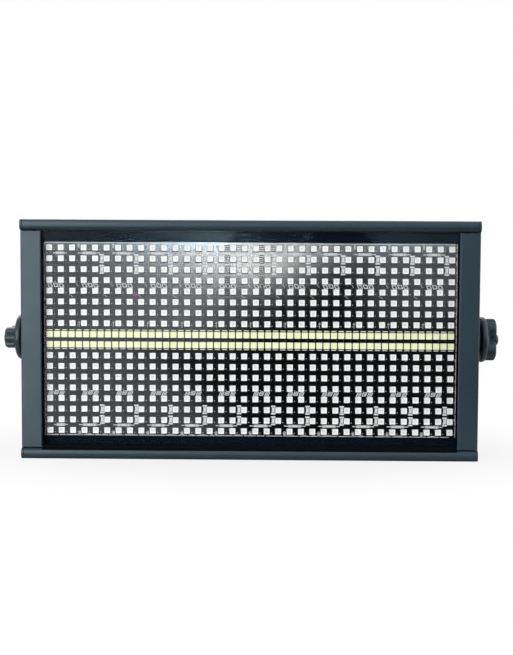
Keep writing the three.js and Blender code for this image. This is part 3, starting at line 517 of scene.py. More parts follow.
def frame_line(x0, x1, z0, z1, line):
    flat(x0, x1, z0, z0 + line)
    flat(x0, x1, z1 - line, z1)
    flat(x0, x0 + line, z0 + line, z1 - line)
    flat(x1 - line, x1, z0 + line, z1 - line)


def slanted(x0, z0, x1, z1, width, kind=INK):
    start, end, along = Vector((x0, 0, z0)), Vector((x1, 0, z1)), Vector((x1 - x0, 0, z1 - z0))
    side = Vector((-along.z, 0, along.x)).normalized() * width / 2
    corners = (start - side, end - side, end + side, start + side)
    points = [(p.x, y, p.z) for y in (BOARD_FACE - PRINT_HEIGHT, BOARD_FACE + PRINT_ROOT) for p in corners]
    art.add(points, [(0, 1, 2, 3), (7, 6, 5, 4), (0, 4, 5, 1), (1, 5, 6, 2), (2, 6, 7, 3), (3, 7, 4, 0)],
            kind)


def upright_resistor(x, z):
    """A resistor that stands upright between two columns, with wide ends."""
    centred(x, z, 2.4, 6.0, TIN, 0.55)
    for way in (1, -1):
        centred(x, z + way * 3.3, 3.9, 1.2, TIN, 0.5)
        centred(x, z + way * 2.2, 1.5, 0.6, PART, 0.58)


def trio(x, z, bold):
    """Three small parts side by side, each in its leaning printed frame."""
    lean = -0.75 if bold else 0.75
    for i in (-1, 0, 1):
        mid, level = x + i * 4.9, z + (0.3 if i == 0 else -0.1)
        for side in (-1.55, 1.55):
            slanted(mid + side - lean, level + 1.7, mid + side + lean, level - 1.7, 0.7, TIN)
        flat(mid - 1.6 - lean, mid + 1.6 - lean, level + 1.2, level + 1.8, TIN)
        flat(mid - 1.6 + lean, mid + 1.6 + lean, level - 1.8, level - 1.2, TIN)
        centred(mid, level, 1.9, 1.3, RESISTOR if bold else PART, 0.45)
        slanted(mid + 0.2 - lean, level + 0.9, mid + 0.2 + lean, level - 0.9, 0.55, TIN)


def long_part(x0, x1, z):
    """A flat part with a long printed line through it."""
    flat(x0, x1, z - 0.4, z + 0.4)
    mid, half = (x0 + x1) / 2, (x1 - x0) * 0.31
    frame_line(mid - half, mid + half, z - 1.15, z + 1.15, 0.5)
    centred(mid, z, half * 0.9, 1.1, TIN, 0.3)
    centred(mid - half * 0.72, z, 1.0, 1.2, TIN, 0.3)
    centred(mid + half * 0.72, z, 1.0, 1.2, TIN, 0.3)


# With every RGB LED a matt dark square a little down and to the left of it, painted shade round its package,
# and two marks
for x, z in rgb_places:
    # painted shade: the dark square sits off-centre, where the package's shadow falls
    centred(x - 0.15, z - 0.3, 5.9, 6.0, MATT, 0.03)
    centred(x + 4.05, z - 1.65, 0.95, 0.45)
    centred(x - 2.95, z + 1.6, 0.25, 0.9)

# Parts between the rows
for x in every_third(4.56):
    for r in (1, 2, 13, 14):
        upright_resistor(x, ROWS[r])
for x in every_third(0.53, 12):
    trio(x, (ROWS[3] + ROWS[4]) / 2, False)
    trio(x, (ROWS[11] + ROWS[12]) / 2, True)
for r in (0, 14):
    z = (ROWS[r] + ROWS[r + 1]) / 2
    long_part(column(0.3), column(1.5), z)
    for x0, x1 in zip(every_third(2.5), every_third(4.4)):
        long_part(x0, x1, z)
for x in every_third(2.55):
    centred(x, ROWS[0] + 1.2, 1.5, 3.0, RESISTOR, 0.4)
    centred(x, ROWS[0] + 2.9, 1.5, 0.6, TIN, 0.4)
    centred(x + 0.1, ROWS[15] - 2.1, 2.0, 4.0, RESISTOR, 0.5)
    centred(x + 0.1, ROWS[15] - 0.4, 2.1, 0.7, TIN, 0.5)
    centred(x + 0.1, ROWS[15] - 3.9, 2.1, 0.7, TIN, 0.5)
    centred(x, ROWS[7] - 0.7, 0.4, 5.2)
    centred(x, ROWS[7] + 0.4, 2.4, 0.4)
    slanted(x - 2.6, ROWS[3] - 2.6, x - 0.6, ROWS[3] - 5.4, 0.35)
    slanted(x - 8.6, ROWS[4] - 3.0, x - 5.2, ROWS[4] - 5.4, 0.3)
    centred(x - 14.6, ROWS[8] - 3.2, 1.2, 0.45)

# Ladders of dark bars between the middle columns
for c, thick in ((15.5, 0.8), (16.5, 0.55), (18.5, 0.8), (19.5, 0.55)):
    for r in range(7):
        bars = 4 if r in (0, 5, 6) else 5
        for i in range(bars):
            centred(column(c), ROWS[r] + (i - (bars - 1) / 2) * 1.7, 4.1, thick, MATT)

# A printed bar and a pad with every white LED
for x, z in white_places:
    way = 1 if z > MIDDLE_Z else -1
    centred(x, MIDDLE_Z + way * 8.25, 4.5, 0.75, CREAM if chance.random() < 0.8 else INK)
    centred(x + 2.1, MIDDLE_Z, 0.5, 0.4, TIN)

# Printed lines and pads round the edge of the board
edge_x, low_z, high_z = BOARD_HIGH.x - 0.9, BOARD_LOW.z + 0.7, BOARD_HIGH.z - 0.7
flat(-edge_x, edge_x, high_z - 0.5, high_z)
x = -edge_x
while x < edge_x - 6:
    length = chance.uniform(4, 16)
    flat(x, min(x + length, edge_x), low_z, low_z + 0.55)
    if chance.random() < 0.6:
        flat(x + length * 0.2, min(x + length * 0.7, edge_x), low_z + 0.9, low_z + 1.3)
    x += length + chance.uniform(0.5, 1.4)
for side in (-1, 1):
    x, z = side * (BOARD_HIGH.x + 0.7), low_z
    while z < high_z - 5:
        length = chance.uniform(4, 15)
        flat(x - 0.22, x + 0.22, z, min(z + length, high_z))
        if chance.random() < 0.6:
            centred(x - side * 0.3, z + length / 2, 0.9, chance.uniform(0.7, 1.8), TIN)
        z += length + chance.uniform(0.4, 1.2)

# Magenta strokes at (column, row, part of a row further down, size): painted reflections of something magenta
for c, r, further, size in ((7.55, 4, 0.36, 2.6), (13.0, 2, 0.5, 1.1), (15.5, 4, 0.36, 1.2)):
    x, z = column(c), ROWS[r] - further * PITCH_Z
    slanted(x - size / 2, z - size / 3, x + size / 2, z + size / 3, size * 0.5, MAGENTA_REFLECTION)
piece("board_parts", art, board_prints)

# Black sheet between the board and the heat sink, seen above and below the board
sheet = Shape()
sink_low, sink_high = low("heat_sink"), high("heat_sink")
sheet.box(sink_low.x + 0.2, sink_high.x - 0.2, BOARD_HIGH.y + 0.06, sink_low.y - 0.06,
          sink_low.z + 0.2, sink_high.z - 0.2)
sheet_look = speckled("black_sheet", (0.0006, 0.0032, 0.009), (0.0011, 0.005, 0.013), (300, 3), (0.5, 0.65),
                      IOR=1.12)
piece("black_sheet", sheet, [sheet_look], bevel=0.03)


# Dark rubber strip that closes the gap between the glass and the bottom rail. It is partly a seal and partly
# painted shade: a near-black, barely glossy strip over the top of the rail's nose, across the whole width,
# where that gap lies in shade

GLASS_FACE, RAIL_TOP, RAIL_FRONT = low("front_glass").y, high("bottom_rail").z, low("bottom_rail").y
LIP_HALF = low("right_side_plate").x - 0.4
NOSE = 3.6


def over_nose(gap, steps):
    """Points over the rounded front of the rail, six degrees apart."""
    return [(RAIL_FRONT + NOSE - (NOSE + gap) * math.sin(t), RAIL_TOP - NOSE + (NOSE + gap) * math.cos(t))
            for t in (math.radians(i * 6) for i in steps)]


lip_outline = over_nose(0.1, range(9)) + over_nose(0.5, range(8, 0, -1)) + [
    (RAIL_FRONT + NOSE - 0.4, RAIL_TOP + 0.7), (RAIL_FRONT + NOSE, RAIL_TOP + 1.7),
    (GLASS_FACE - 1.5, RAIL_TOP + 2.6), (GLASS_FACE - 0.15, RAIL_TOP + 2.6),
    (GLASS_FACE - 0.15, RAIL_TOP + 0.1)]
lip = Shape()
lip.loft([[(x, y, z) for y, z in lip_outline] for x in (-LIP_HALF, LIP_HALF)])
# Near black, with a low IOR so it hardly reflects: painted shade over the rail's nose
lip_rubber_and_painted_shade = moulded("lip_rubber_and_painted_shade", (0.0006, 0.0012, 0.002), (0.0014, 0.0022, 0.003), rough=0.7, ior=1.15)
piece("glass_lip", lip, [lip_rubber_and_painted_shade])


# Hand knobs

LOBE, LOBE_CENTRE, WAIST = 9.3, 9.5, 5.6
KNOB_BASE, KNOB_SIDES, CORE, DOME = 205.4, 144, 5.2, 2.9
GRIP_END, GRIP_EDGE = 14.4, 2.6
SKIRT = [(0, 19.3), (0.35, 20.0), (1.1, 20.3), (3.2, 20.2), (4.2, 19.6), (5.0, 18.4), (5.7, 16.4),
         (6.6, 13.4), (7.6, 10.8), (8.3, 9.4)]
KNOB_RINGS = [0, 0.35, 0.7, 1.1, 2.0, 3.2, 3.7, 4.2, 4.6, 5.0, 5.35, 5.7, 6.15, 6.6, 7.1, 7.6, 8.0, 8.3, 9.0,
              9.8, 10.8, 11.8, 12.4, 12.9, 13.4, 13.8, 14.1, 14.3, GRIP_END]


def share(value):
    return min(1, max(0, value))


def soft_max(a, b, width):
    gap = max(width - abs(a - b), 0) / width
    return max(a, b) + gap * gap * width / 4


def grip_radius(angle):
    """Two round lobes, up and down, with a flat waist between them."""
    c, s = abs(math.cos(angle)), abs(math.sin(angle))
    reach = LOBE_CENTRE * s
    inside = LOBE ** 2 - LOBE_CENTRE ** 2 + reach * reach
    lobe = reach + math.sqrt(inside) if inside > 0 else 0
    waist = WAIST / max(c, 1e-3)
    if waist * s > LOBE:
        return lobe
    return soft_max(lobe, waist, 1.0)


def skirt_radius(at):
    """Radius on the straight lines through SKIRT, nought beyond its end."""
    for (a0, r0), (a1, r1) in zip(SKIRT, SKIRT[1:]):
        if at <= a1:
            return r0 + (r1 - r0) * (at - a0) / (a1 - a0)
    return 0


def knob_shape():
    rings = []
    for along in KNOB_RINGS:
        rounding = share((along - GRIP_END + GRIP_EDGE) / GRIP_EDGE)
        inset = GRIP_EDGE * (1 - math.sqrt(1 - rounding * rounding))
        flute = share((along - 4.6) / 1.6) * share((GRIP_END + 0.6 - along) / 2.0)
        ring = []
        for angle in angles(KNOB_SIDES):
            grip = grip_radius(angle) - inset if along > 3 else 0
            off = math.remainder(angle - math.pi / 2, math.pi)
            groove = sum(math.exp(-((off - at) / 0.105) ** 2) for at in (-0.25, 0.25))
            radius = max(soft_max(skirt_radius(along), grip - 2.2 * groove * flute, 1.2), CORE)
            ring.append(around("x", KNOB_BASE + along, radius, angle))
        rings.append(ring)
    for step in range(7):
        turn = math.pi / 2 * step / 7
        rings.append([around("x", KNOB_BASE + GRIP_END + DOME * math.sin(turn), 5.4 * math.cos(turn), angle)
                      for angle in angles(KNOB_SIDES)])
    shape = Shape()
    shape.loft(rings)

    # The screw and the ridges of its thread
    shape.turned("x", [(0, 186.6), (3.4, 186.6), (4, 187.2), (4, 206), (0, 206)], 32, kind=1)
    for i in range(9):
        at = 188.2 + i * 1.25
        shape.turned("x", [(3.9, at), (4.0, at + 0.3), (4.0, at + 0.6), (3.9, at + 0.9)], 32, kind=1)
    return shape


knob = knob_shape()
turned_over = Matrix.Rotation(math.pi, 4, "Z") @ Matrix.Rotation(math.radians(88), 4, "X")
for name, turn in (("right_knob", Matrix.Identity(4)), ("left_knob", turned_over)):
    shape = Shape()
    shape.join(knob, Matrix.Translation((0, 0, PIVOT_Z)) @ turn)
    piece(f"{name}_grip", shape, [knob_plastic, zinc], name, replaces=(name,), smooth=40)


# Back panel: sockets, fans and display

COVER_FACE = 44.9
CORNER_STEPS = 9
contact_steel = metal("contact_steel", (0.62, 0.60, 0.55), (0.76, 0.74, 0.69), rough=0.22)
contact_brass = metal("contact_brass", (0.62, 0.46, 0.20), (0.76, 0.58, 0.28), rough=0.24)
nickel_black = metal("socket_shell", (0.10, 0.105, 0.11), (0.16, 0.165, 0.17), rough=0.3, metallic=0.85)


def plate(half_u, half_v, radius):
    return rounded(half_u, half_v, radius, CORNER_STEPS)


def wheel(radius):
    """A circle with as many points as a plate has."""
    return plate(radius, radius, radius)


def notched(radius, half, top):
    """A circle with a notch for the latch at its top."""
    return [(math.copysign(half, u) if abs(u) > 0.01 else 0, top) if v > 0 and abs(u) < radius / 4 else (u, v)
            for u, v in wheel(radius)]


def chamfered(half_u, half_v, low_cut, high_cut):
    """Points round a rectangle with straight cut corners, as many as a plate has."""
    points = []
    for turn, (cu, cv) in enumerate(((1, -1), (1, 1), (-1, 1), (-1, -1))):
        cut = low_cut if cv < 0 else high_cut
        first, last = (cu * half_u, cv * (half_v - cut)), (cu * (half_u - cut), cv * half_v)
        if turn in (0, 2):
            first, last = last, first
        for t in (step / CORNER_STEPS for step in range(CORNER_STEPS + 1)):
            points.append(tuple(a + (b - a) * t for a, b in zip(first, last)))
    return points


def stack(shape, x, z, rings, kind=0, cap_end=True):
    shape.loft([[(x + u, y, z + v) for u, v in ring] for ring, y in rings], kind, cap_end=cap_end)


def holed(shape, x, z, outer, holes, y, depth, kind, hole_kind):
    """A flat face with real holes that go in from it."""
    loops = [outer] + holes
    triangles = tessellate_polygon([[Vector((u, v, 0)) for u, v in loop] for loop in loops])
    shape.add([(x + u, y, z + v) for loop in loops for u, v in loop], triangles, kind)
    for hole in holes:
        shape.loft([[(x + u, at, z + v) for u, v in hole] for at in (y, y - depth)], hole_kind,
                   cap_start=False)


def oblong(u, v, half_u, half_v, corner=0.3):
    return [(u + p, v + q) for p, q in rounded(half_u, half_v, corner, 2)]


def flange_screws(shape, x, z, places, face, kind):
    """Screws with a cross in the head, which is made of four turns of one corner."""
    cross = [(0.35, 1.5), (0.35, 0.35), (1.5, 0.35)]
    while len(cross) < 12:
        cross += [(b, -a) for a, b in cross[-3:]]
    rim = circle(2.3, 24)
    side = [(2.6 * a / 2.3, 2.6 * b / 2.3) for a, b in rim]
    for u, v in places:
        shape.loft([[(x + u + a, at, z + v + b) for a, b in ring]
                    for ring, at in ((side, face - 0.3), (side, face + 0.05), (rim, face + 0.2))],
                   kind, cap_start=False, cap_end=False)
        holed(shape, x + u, z + v, rim, [cross], face + 0.2, 0.8, kind, kind)


def signal_socket(name, outlet):
    """A round three-pole socket, with holes in the outlet and pins in the inlet."""
    x, z = centre_of(name)
    shell, flange, inner = wheel(11.8), plate(13, 15.5, 3), plate(12.6, 15.1, 2.7)
    mouth, bore = (notched(10.5, 3.6, 11.7), notched(9.8, 3.4, 11.5)) if outlet else (wheel(10.5), wheel(9.8))
    rings = [(shell, 25), (shell, COVER_FACE), (flange, COVER_FACE + 0.02), (flange, 46.5), (inner, 46.9),
             (mouth, 46.9), (bore, 46.3), (bore, 33.9)]
    shape = Shape()
    stack(shape, x, z, rings, [0] * 6 + [1])
    spots = [(5 * math.cos(math.radians(t)), -5 * math.sin(math.radians(t))) for t in (90, 210, 330)]
    if outlet:
        face, block, edge = 45.4, wheel(7.6), wheel(7.3)
        stack(shape, x, z, [(block, 34.0), (block, face - 0.3), (edge, face)], 1, cap_end=False)
        holes = [[(u + a, v + b) for a, b in circle(1.6, 20)] for u, v in spots]
        holed(shape, x, z, edge, holes, face, 9, 1, 2)
    else:
        pin = [(0, 33.5), (1.2, 33.5), (1.2, 43.0), (0.9, 43.7), (0, 43.9)]
        for u, v in spots:
            shape.turned("y", pin, 24, (x + u, 0, z + v), 2)
        shape.box(x - 1.1, x + 1.1, 34.0, 45.2, z + 8.2, z + 9.9, 1)
    flange_screws(shape, x, z, ((-10.2, 12.6), (10.2, -12.6)), 46.9, 3)
    piece(f"{name}_socket", shape, [nickel_black, black_plastic, contact_brass, contact_steel],
          replaces=(name,), smooth=40)


def power_socket(name, outlet):
    """A three-blade mains socket, with slots in the outlet and blades in the inlet."""
    x, z = centre_of(name)
    body, flange, inner = plate(14, 10, 2), plate(24, 12, 2), plate(23.6, 11.6, 1.7)
    mouth, inside = chamfered(11.8, 8.1, 1.0, 4.2), chamfered(11.5, 7.8, 0.9, 4.0)
    rings = [(body, 25), (body, COVER_FACE), (flange, COVER_FACE + 0.02), (flange, 46.7), (inner, 47.1),
             (mouth, 47.1), (inside, 46.7), (inside, 33.1)]
    shape = Shape()
    stack(shape, x, z, rings)
    spots = ((-7, 0), (7, 0), (0, 2.6))
    if outlet:
        face, block, edge = 46.4, chamfered(9.9, 6.2, 0.6, 3.4), chamfered(9.6, 5.9, 0.5, 3.3)
        stack(shape, x, z, [(block, 33.2), (block, face - 0.3), (edge, face)], cap_end=False)
        holed(shape, x, z, edge, [oblong(u, v, 1.2, 2.2) for u, v in spots], face, 11, 0, 1)
    else:
        for u, v in spots:
            blade = [oblong(u, v, half, half + 1, 0.4) for half in (1.0, 1.0, 0.6)]
            stack(shape, x, z, zip(blade, (32.9, 43.4, 44.1)), 1)
    flange_screws(shape, x, z, ((-19.6, 0), (19.6, 0)), 47.1, 2)
    piece(f"{name}_socket", shape, [black_plastic, contact_steel, black_steel],
          replaces=(name,))


signal_socket("dmx_in_connector", False)
signal_socket("dmx_out_connector", True)
power_socket("power_in_connector", False)
power_socket("power_out_connector", True)


def guard(side, x):
    """Three rings, four spokes that end in eyes, and a round plate in the middle."""
    wire, eye_place = 0.85, 35.75
    shape = Shape()
    for radius in (36.4, 27.4, 18.4):
        shape.tube([(x + u, 46.0, PIVOT_Z + v) for u, v in circle(radius, 72)], wire, closed=True)
    for way_x, way_z in ((1, 1), (1, -1), (-1, 1), (-1, -1)):
        shape.tube([(x + way_x * r, 45.8, PIVOT_Z + way_z * r) for r in (5.5, 33.2)], wire)
        eye_x, eye_z = x + way_x * eye_place, PIVOT_Z + way_z * eye_place
        shape.tube([(eye_x + u, 45.9, eye_z + v) for u, v in circle(3.4, 28)], 0.9, closed=True)
    shape.turned("y", [(0, 45.1), (8.6, 45.1), (9.4, 45.5), (9.4, 46.1), (8.7, 46.7), (0, 46.9)], 56,
                 (x, 0, PIVOT_Z))
    piece(f"{side}_guard_wire", shape, [black_steel],
          replaces=(f"{side}_fan_guard",))


def rotor(side, x):
    """A hub with seven curved blades, each a front and a back sheet joined at the edges."""
    blades, across, along = 7, 12, 10
    shape = Shape()
    shape.turned("y", [(0, 21.2), (15, 21.2), (16, 22.2), (16, 40.4), (15.4, 41.3), (14.4, 41.7),
                       (12.2, 41.7), (11.8, 41.3), (2.6, 41.3), (2.2, 41.6), (0, 41.6)], 72, (x, 0, PIVOT_Z))
    shape.turned("y", [(0, 20.9), (1.5, 20.9), (1.5, 21.6), (0, 21.6)], 20, (x, 0, PIVOT_Z))
    for start in angles(blades):
        front, back = [], []
        for i in range(along + 1):
            s = i / along
            radius = 15.4 + s * 19.4
            chord = 0.74 - 0.16 * s
            for j in range(across + 1):
                t = j / across
                angle = start + 0.42 * s * s + (t - 0.5) * chord
                thick = 0.75 * math.sqrt(math.sin(math.pi * min(0.97, max(0.03, t)))) * (1.15 - 0.4 * s)
                y = 23.4 + 15.6 * t + 1.6 * math.sin(math.pi * t)
                for rows, shift in ((front, -thick), (back, thick)):
                    rows.append((x + radius * math.sin(angle), y + shift, PIVOT_Z + radius * math.cos(angle)))
        count, first, faces = across + 1, len(front), []
        for i in range(along):
            for a in range(i * count, i * count + across):
                b = a + count
                faces += [(a, b, b + 1, a + 1), (first + a, first + a + 1, first + b + 1, first + b)]
        for a in range(across):
            b = a + along * count
            faces += [(a, a + 1, first + a + 1, first + a), (b, first + b, first + b + 1, b + 1)]
        for a in range(0, along * count, count):
            b, c, d = a + count, a + across, a + count + across
            faces += [(a, first + a, first + b, b), (c, d, first + d, first + c)]
        shape.add(front + back, faces)
    piece(f"{side}_rotor_blades", shape, [fan_plastic], f"{side}_rotor",
          replaces=(f"{side}_fan_rotor",), smooth=38)


for side, way in (("left", -1), ("right", 1)):
    guard(side, way * FAN_X)
    rotor(side, way * FAN_X)

# Unlit segments in the display window, which lean a little
LEAN, FLAT_HALF, UPRIGHT_HALF, POINT = 0.09, (2.5, 0.55), (0.55, 2.7), 0.5
SEGMENTS = ((0, 7, 0), (0, 0, 0), (0, -7, 0), (-3.3, 3.5, 1), (3.3, 3.5, 1), (-3.3, -3.5, 1), (3.3, -3.5, 1))
digits = Shape()
window_left, window_face = low("display_window").x, high("display_window").y
digit_low, digit_high = window_face - 0.1, window_face + 0.02
z = centre_of("display_window")[1]
for k in range(4):
    x = window_left + 8.6 + k * 10.9
    for u, v, upright in SEGMENTS:
        a, b = UPRIGHT_HALF if upright else FLAT_HALF
        corners = [(-a, -b), (a, -b), (a, b), (-a, b)]
        if upright:
            c = b - POINT
            corners = [(-a, -c), (0, -b), (a, -c), (a, c), (0, b), (-a, c)]
        digits.loft([[(x + u + p + (v + q) * LEAN, y, z + v + q) for p, q in corners]
                     for y in (digit_low, digit_high)])
    digits.turned("y", [(0, digit_low), (0.6, digit_low), (0.6, digit_high), (0, digit_high)], 14,
                  (x + 5.0, 0, z - 7))
unlit = moulded("unlit_segments", (0.060, 0.014, 0.014), (0.075, 0.020, 0.018), rough=0.12)
piece("display_digits", digits, [unlit])


# CAD nodes that keep their shape, with their looks and the widths of their rounded edges

circuit = moulded("circuit_board", (0.010, 0.060, 0.028), (0.016, 0.085, 0.040), rough=0.35)
window_look = moulded("smoked_window", (0.006, 0.003, 0.004), (0.010, 0.005, 0.006), rough=0.08)
button_grey = moulded("button_plastic", (0.10, 0.105, 0.11), (0.14, 0.145, 0.15), rough=0.45)
fuse_look = moulded("fuse_glass", (0.60, 0.62, 0.58), (0.72, 0.73, 0.70), rough=0.1)
for names, look, edge in (
        ("top_rail bottom_rail", paint, 0.35), ("left_side_plate right_side_plate rear_cover", paint, 0.25),
        ("yoke", bracket_paint_and_painted_light, 0.4), ("front_glass", glass, 0.3), ("glass_seal", rubber, 0.15),
        ("heat_sink", aluminium, 0.2), ("power_supply", cage_steel, 0.3), ("control_board", circuit, 0.15),
        ("menu_button up_button down_button enter_button", button_grey, 0.4),
        ("dmx_out_latch", zinc, 0.3), ("safety_eye", zinc, 0.2), ("fuse_holder fuse_cap", black_plastic, 0.3),
        ("fuse", fuse_look, 0.2), ("display_window", window_look, 0.3)):
    for node in names.split():
        dress(node, look, edge)
for side in ("left", "right"):
    dress(f"{side}_fan_frame", fan_plastic, 0.3)
    dress(f"{side}_knob_washer", black_steel, 0.2)
    dress(f"{side}_friction_disc", fibre, 0.2)
    dress(f"{side}_pivot_nut", zinc, 0.4)
    for i in range(1, 5):
        dress(f"{side}_fan_screw_{i}", black_steel, 0.2)
        dress(f"{side}_side_screw_{i}", zinc, 0.15)
for i in range(1, 5):
    dress(f"cover_screw_{i}", zinc, 0.2)


# Camera, fitted to the photograph: lengths in its pixels, and the place in metres

PICTURE_HEIGHT, FOCAL_LENGTH, SHIFT, SENSOR = 655, 1103.6, (-24, 16), 36
EYE = (0.0365, -0.996, 0.1607)
yaw, pitch, roll = math.radians(-0.59), math.radians(3.53), math.radians(0.346)
forward = Vector((math.sin(yaw) * math.cos(pitch), math.cos(yaw) * math.cos(pitch), -math.sin(pitch)))
level = Vector((math.cos(yaw), -math.sin(yaw), 0))
upright = level.cross(forward)
right = math.cos(roll) * level + math.sin(roll) * upright
up = math.cos(roll) * upright - math.sin(roll) * level
optics = bpy.data.cameras.new("camera")
optics.sensor_width = SENSOR
optics.lens = FOCAL_LENGTH * SENSOR / PICTURE_HEIGHT
optics.shift_x = SHIFT[0] / PICTURE_HEIGHT
optics.shift_y = SHIFT[1] / PICTURE_HEIGHT
optics.clip_start = 0.01
optics.clip_end = 50
camera = placed("camera", optics)
camera.matrix_world = Matrix((*zip(right, up, -forward, EYE), (0, 0, 0, 1)))
scene.camera = camera


# Lamps: name, place, aim, width, height, watts and colour

AIM, WHITE = (0, 0, 0.1), (1, 1, 1)
for name, at, aim, width, tall, power, colour in (
        ("left_softbox", (-0.86, -1.34, 0.4), AIM, 0.9, 1.2, 16.5, (0.97, 1.0, 1.01)),
        ("top_softbox", (0.1, -0.9, 1.5), AIM, 1.6, 0.9, 2.5, WHITE),
        ("back_softbox", (-0.5, 1.5, 1.1), AIM, 1.4, 1.0, 13, WHITE),
        ("right_softbox", (1.6, 0.55, 0.8), AIM, 0.9, 0.9, 4, WHITE),
        ("right_fill", (1.5, -0.7, 0.35), (0.2, 0, 0.1), 0.8, 0.8, 5, WHITE)):
    data = bpy.data.lights.new(name, "AREA")
    data.shape = "RECTANGLE"
    data.size, data.size_y = width, tall
    data.energy, data.color = power, colour
    lamp = placed(name, data)
    lamp.location = at
    lamp.rotation_euler = (Vector(aim) - Vector(at)).to_track_quat("-Z", "Y").to_euler()
    lamp.visible_camera = lamp.visible_transmission = False


# Studio: white behind the object, and a soft room for everything but the camera

class Room(Tree):
    """Numbers worked out over the directions that the room is seen in."""
    def add(self, *values):
        return self.math("ADD", *values)

    def times(self, *values):
        return self.math("MULTIPLY", *values)

    def most(self, *values):
        return self.math("MAXIMUM", *values)

    def step(self, *numbers):
        return self.ranged(*numbers, smooth=True)

    def blob(self, u, v, at_u, at_v, wide, tall):
        du = self.times(self.add(u, -at_u), 1 / wide)
        dv = self.times(self.add(v, -at_v), 1 / tall)
        spread = self.add(self.times(du, du), self.times(dv, dv))
        return self.math("EXPONENT", self.times(spread, -1))

    def curve(self, value, points):
        """A run of straight lines through (place, height)."""
        made = self.node("ShaderNodeFloatCurve")
        low_end, high_end = points[0][0], points[-1][0]
        most = max(height for _, height in points)
        curve = made.mapping.curves[0]
        spots = [((place - low_end) / (high_end - low_end), height / most) for place, height in points]
        curve.points[0].location, curve.points[-1].location = spots[0], spots[-1]
        for spot in spots[1:-1]:
            curve.points.new(*spot)
        for point in curve.points:
            point.handle_type = "VECTOR"
        made.mapping.update()
        self.link(self.ranged(value, low_end, high_end, 0, 1), made.inputs["Value"])
        return self.times(made.outputs[0], most)

    def background(self, colour, strength):
        made = self.node("ShaderNodeBackground")
        self.fill(made.inputs["Color"], colour)
        self.fill(made.inputs["Strength"], strength)
        return made


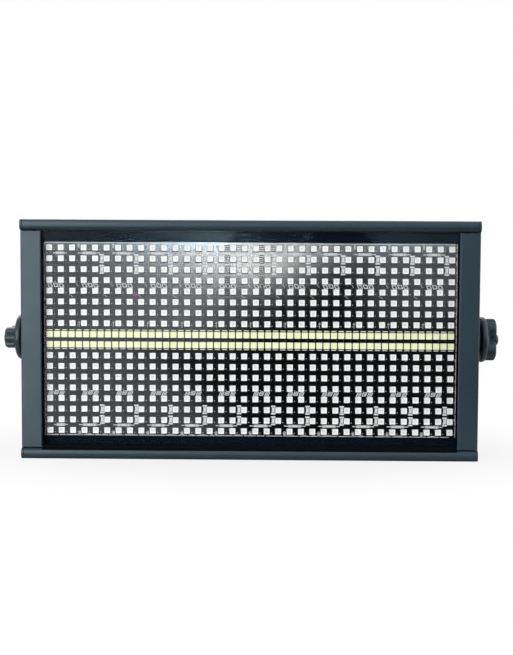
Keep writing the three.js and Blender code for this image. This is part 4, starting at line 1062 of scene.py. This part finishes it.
def studio():
    world = bpy.data.worlds.new("studio")
    scene.world = world
    world.use_nodes = True
    world.cycles.sampling_method = "NONE"
    m = Room(world.node_tree)
    path = m.node("ShaderNodeLightPath").outputs
    parts = m.node("ShaderNodeSeparateXYZ")
    m.link(m.node("ShaderNodeTexCoord").outputs["Generated"], parts.inputs[0])
    x, y, z = parts.outputs
    step, times, add, most = m.step, m.times, m.add, m.most
    depth = most(times(y, -1), 0.05)
    u, v = m.math("DIVIDE", x, depth), m.math("DIVIDE", z, depth)

    # The front of the room, from bright at the left to dim at the right
    upper, lower = step(v, -0.075, -0.035, 0, 1), step(v, -0.035, -0.075, 0, 1)
    high_lean = add(u, times(most(add(v, 0.031), 0), -1.6))
    low_lean = add(u, add(v, 0.09))
    left_upper = times(step(u, -0.22, -0.10, 0.48, 0.95), step(high_lean, -0.025, -0.095, 0.02, 1))
    left_lower = times(step(low_lean, -0.09, -0.135, 0.008, 0.45), step(v, -0.3, -0.16, 0.1, 1))
    left = add(times(left_upper, upper), times(left_lower, lower))
    right = times(step(u, 0.055, 0.085, 0, 1), step(v, -0.055, -0.01, 0.01, 0.46),
                  step(u, 0.15, 0.19, 1, 0.1))

    # A soft glow in the middle. Light that comes by way of a matt surface doesn't show it, or the strip
    direct = step(path["Diffuse Depth"], 0.4, 0.6, 1, 0)
    glow = times(direct, add(times(m.blob(u, v, -0.04, 0.012, 0.042, 0.017), 4.2),
                             times(m.blob(u, v, 0.012, 0.028, 0.06, 0.012), 2.8)))
    haze = times(m.blob(u, v, -0.09, 0.02, 0.06, 0.022), 1.8)
    low_room = add(add(left, right), add(glow, haze))

    # The strip that the dark band above the board shows: bright, then in patches, then dim
    lean_left = add(u, times(add(v, -0.036), -0.25))
    lean_right = add(u, add(v, -0.036))
    bright = m.curve(lean_left, [(-0.3, 3.0), (-0.16, 4.2), (-0.1286, 7.5), (-0.1014, 13.5),
                                 (-0.076, 25.0), (-0.055, 28.0), (-0.052, 0.3), (0.2, 0.1)])
    spread = m.node("ShaderNodeCombineXYZ")
    m.link(u, spread.inputs[0])
    m.link(v, spread.inputs[1])
    specks = m.node("ShaderNodeTexNoise", Scale=210)
    m.link(spread.outputs[0], specks.inputs["Vector"])
    patches = m.curve(lean_left, [(-0.056, 0.0), (-0.052, 6.0), (-0.042, 9.0), (-0.03, 3.6), (-0.02, 2.4),
                                  (-0.009, 1.0), (0.002, 2.0), (0.0128, 4.0), (0.021, 0.1), (0.2, 0.0)])
    bright = add(bright, times(patches, step(specks.outputs["Fac"], 0.46, 0.64, 0.3, 2.8)))
    far_right = step(lean_right, 0.066, 0.069, 0, 1)
    strip = add(bright, times(far_right, step(u, 0.07, 0.16, 4.6, 2.2)))
    is_strip = times(step(v, 0.0285, 0.031, 0, 1), step(v, 0.044, 0.055, 1, 0), path["Is Glossy Ray"], direct)
    front_room = add(times(low_room, add(1, times(is_strip, -1))), times(strip, is_strip))

    # Above, at the sides and behind
    above = step(z, 0.1, 0.55, 0, 0.75)
    behind = step(y, -0.3, 0.1, 0, 0.9)
    at_left = times(step(x, -0.35, -0.7, 0, 0.8), step(z, -0.3, 0.0, 0.2, 1))
    in_front = step(y, -0.6, -0.3, 1, 0)
    room = most(above, behind, at_left, times(in_front, front_room))
    gentle = add(step(z, -0.2, 0.6, 0.03, 0.55), step(x, 0.5, -0.6, 0.0, 0.2))

    # What each kind of ray sees
    main_room = m.mixed(times(glow, 0.6), m.background((0.93, 1.0, 1.05), room),
                        m.background((0.99, 1.0, 0.99), room))
    for_gloss = m.mixed(times(is_strip, in_front), main_room, m.background((0.74, 1.02, 1.2), room))
    for_matt = m.background((0.98, 1.0, 1.01), gentle)
    others = m.mixed(most(path["Is Glossy Ray"], path["Is Transmission Ray"]), for_matt, for_gloss)
    seen = m.mixed(path["Is Camera Ray"], others, m.background((1, 1, 1), 1.0))
    m.link(seen.outputs[0], m.node("ShaderNodeOutputWorld").inputs["Surface"])


def floor():
    """A pale floor just round the object, which fades into the white behind it."""
    half_x, half_y, middle_y, below, sides = 0.40, 0.26, 0.03, -0.0002, 96
    points = [(half_x * part * math.cos(t), middle_y + half_y * part * math.sin(t), below)
              for part in (1.0, 0.9) for t in angles(sides)]
    faces = [(i, (i + 1) % sides, sides + (i + 1) % sides, sides + i) for i in range(sides)]
    mesh = bpy.data.meshes.new("floor")
    mesh.from_pydata(points, [], faces + [tuple(range(sides, 2 * sides))])
    look = Look("floor")
    look.tree.nodes.remove(look.shader)
    place = look.node("ShaderNodeNewGeometry").outputs["Position"]
    oval = look.node("ShaderNodeMapping", Location=(0, -middle_y / half_y, 0),
                     Scale=(1 / half_x, 1 / half_y, 0))
    look.link(place, oval.inputs["Vector"])
    length = look.node("ShaderNodeVectorMath", operation="LENGTH")
    look.link(oval.outputs[0], length.inputs[0])
    faint = look.ranged(length.outputs["Value"], 0.35, 0.98, 0.82, 1.0, smooth=True)
    camera_ray = look.node("ShaderNodeLightPath").outputs["Is Camera Ray"]
    both = look.mixed(look.math("MULTIPLY", faint, camera_ray),
                      look.node("ShaderNodeBsdfDiffuse", Color=(0.55, 0.55, 0.55, 1)),
                      look.node("ShaderNodeEmission", Strength=1.0))
    look.link(both.outputs[0], look.out.inputs["Surface"])
    mesh.materials.append(look.material)
    made = placed("floor", mesh)
    made.visible_transmission = False


studio()
floor()

scene.view_settings.view_transform = "Standard"
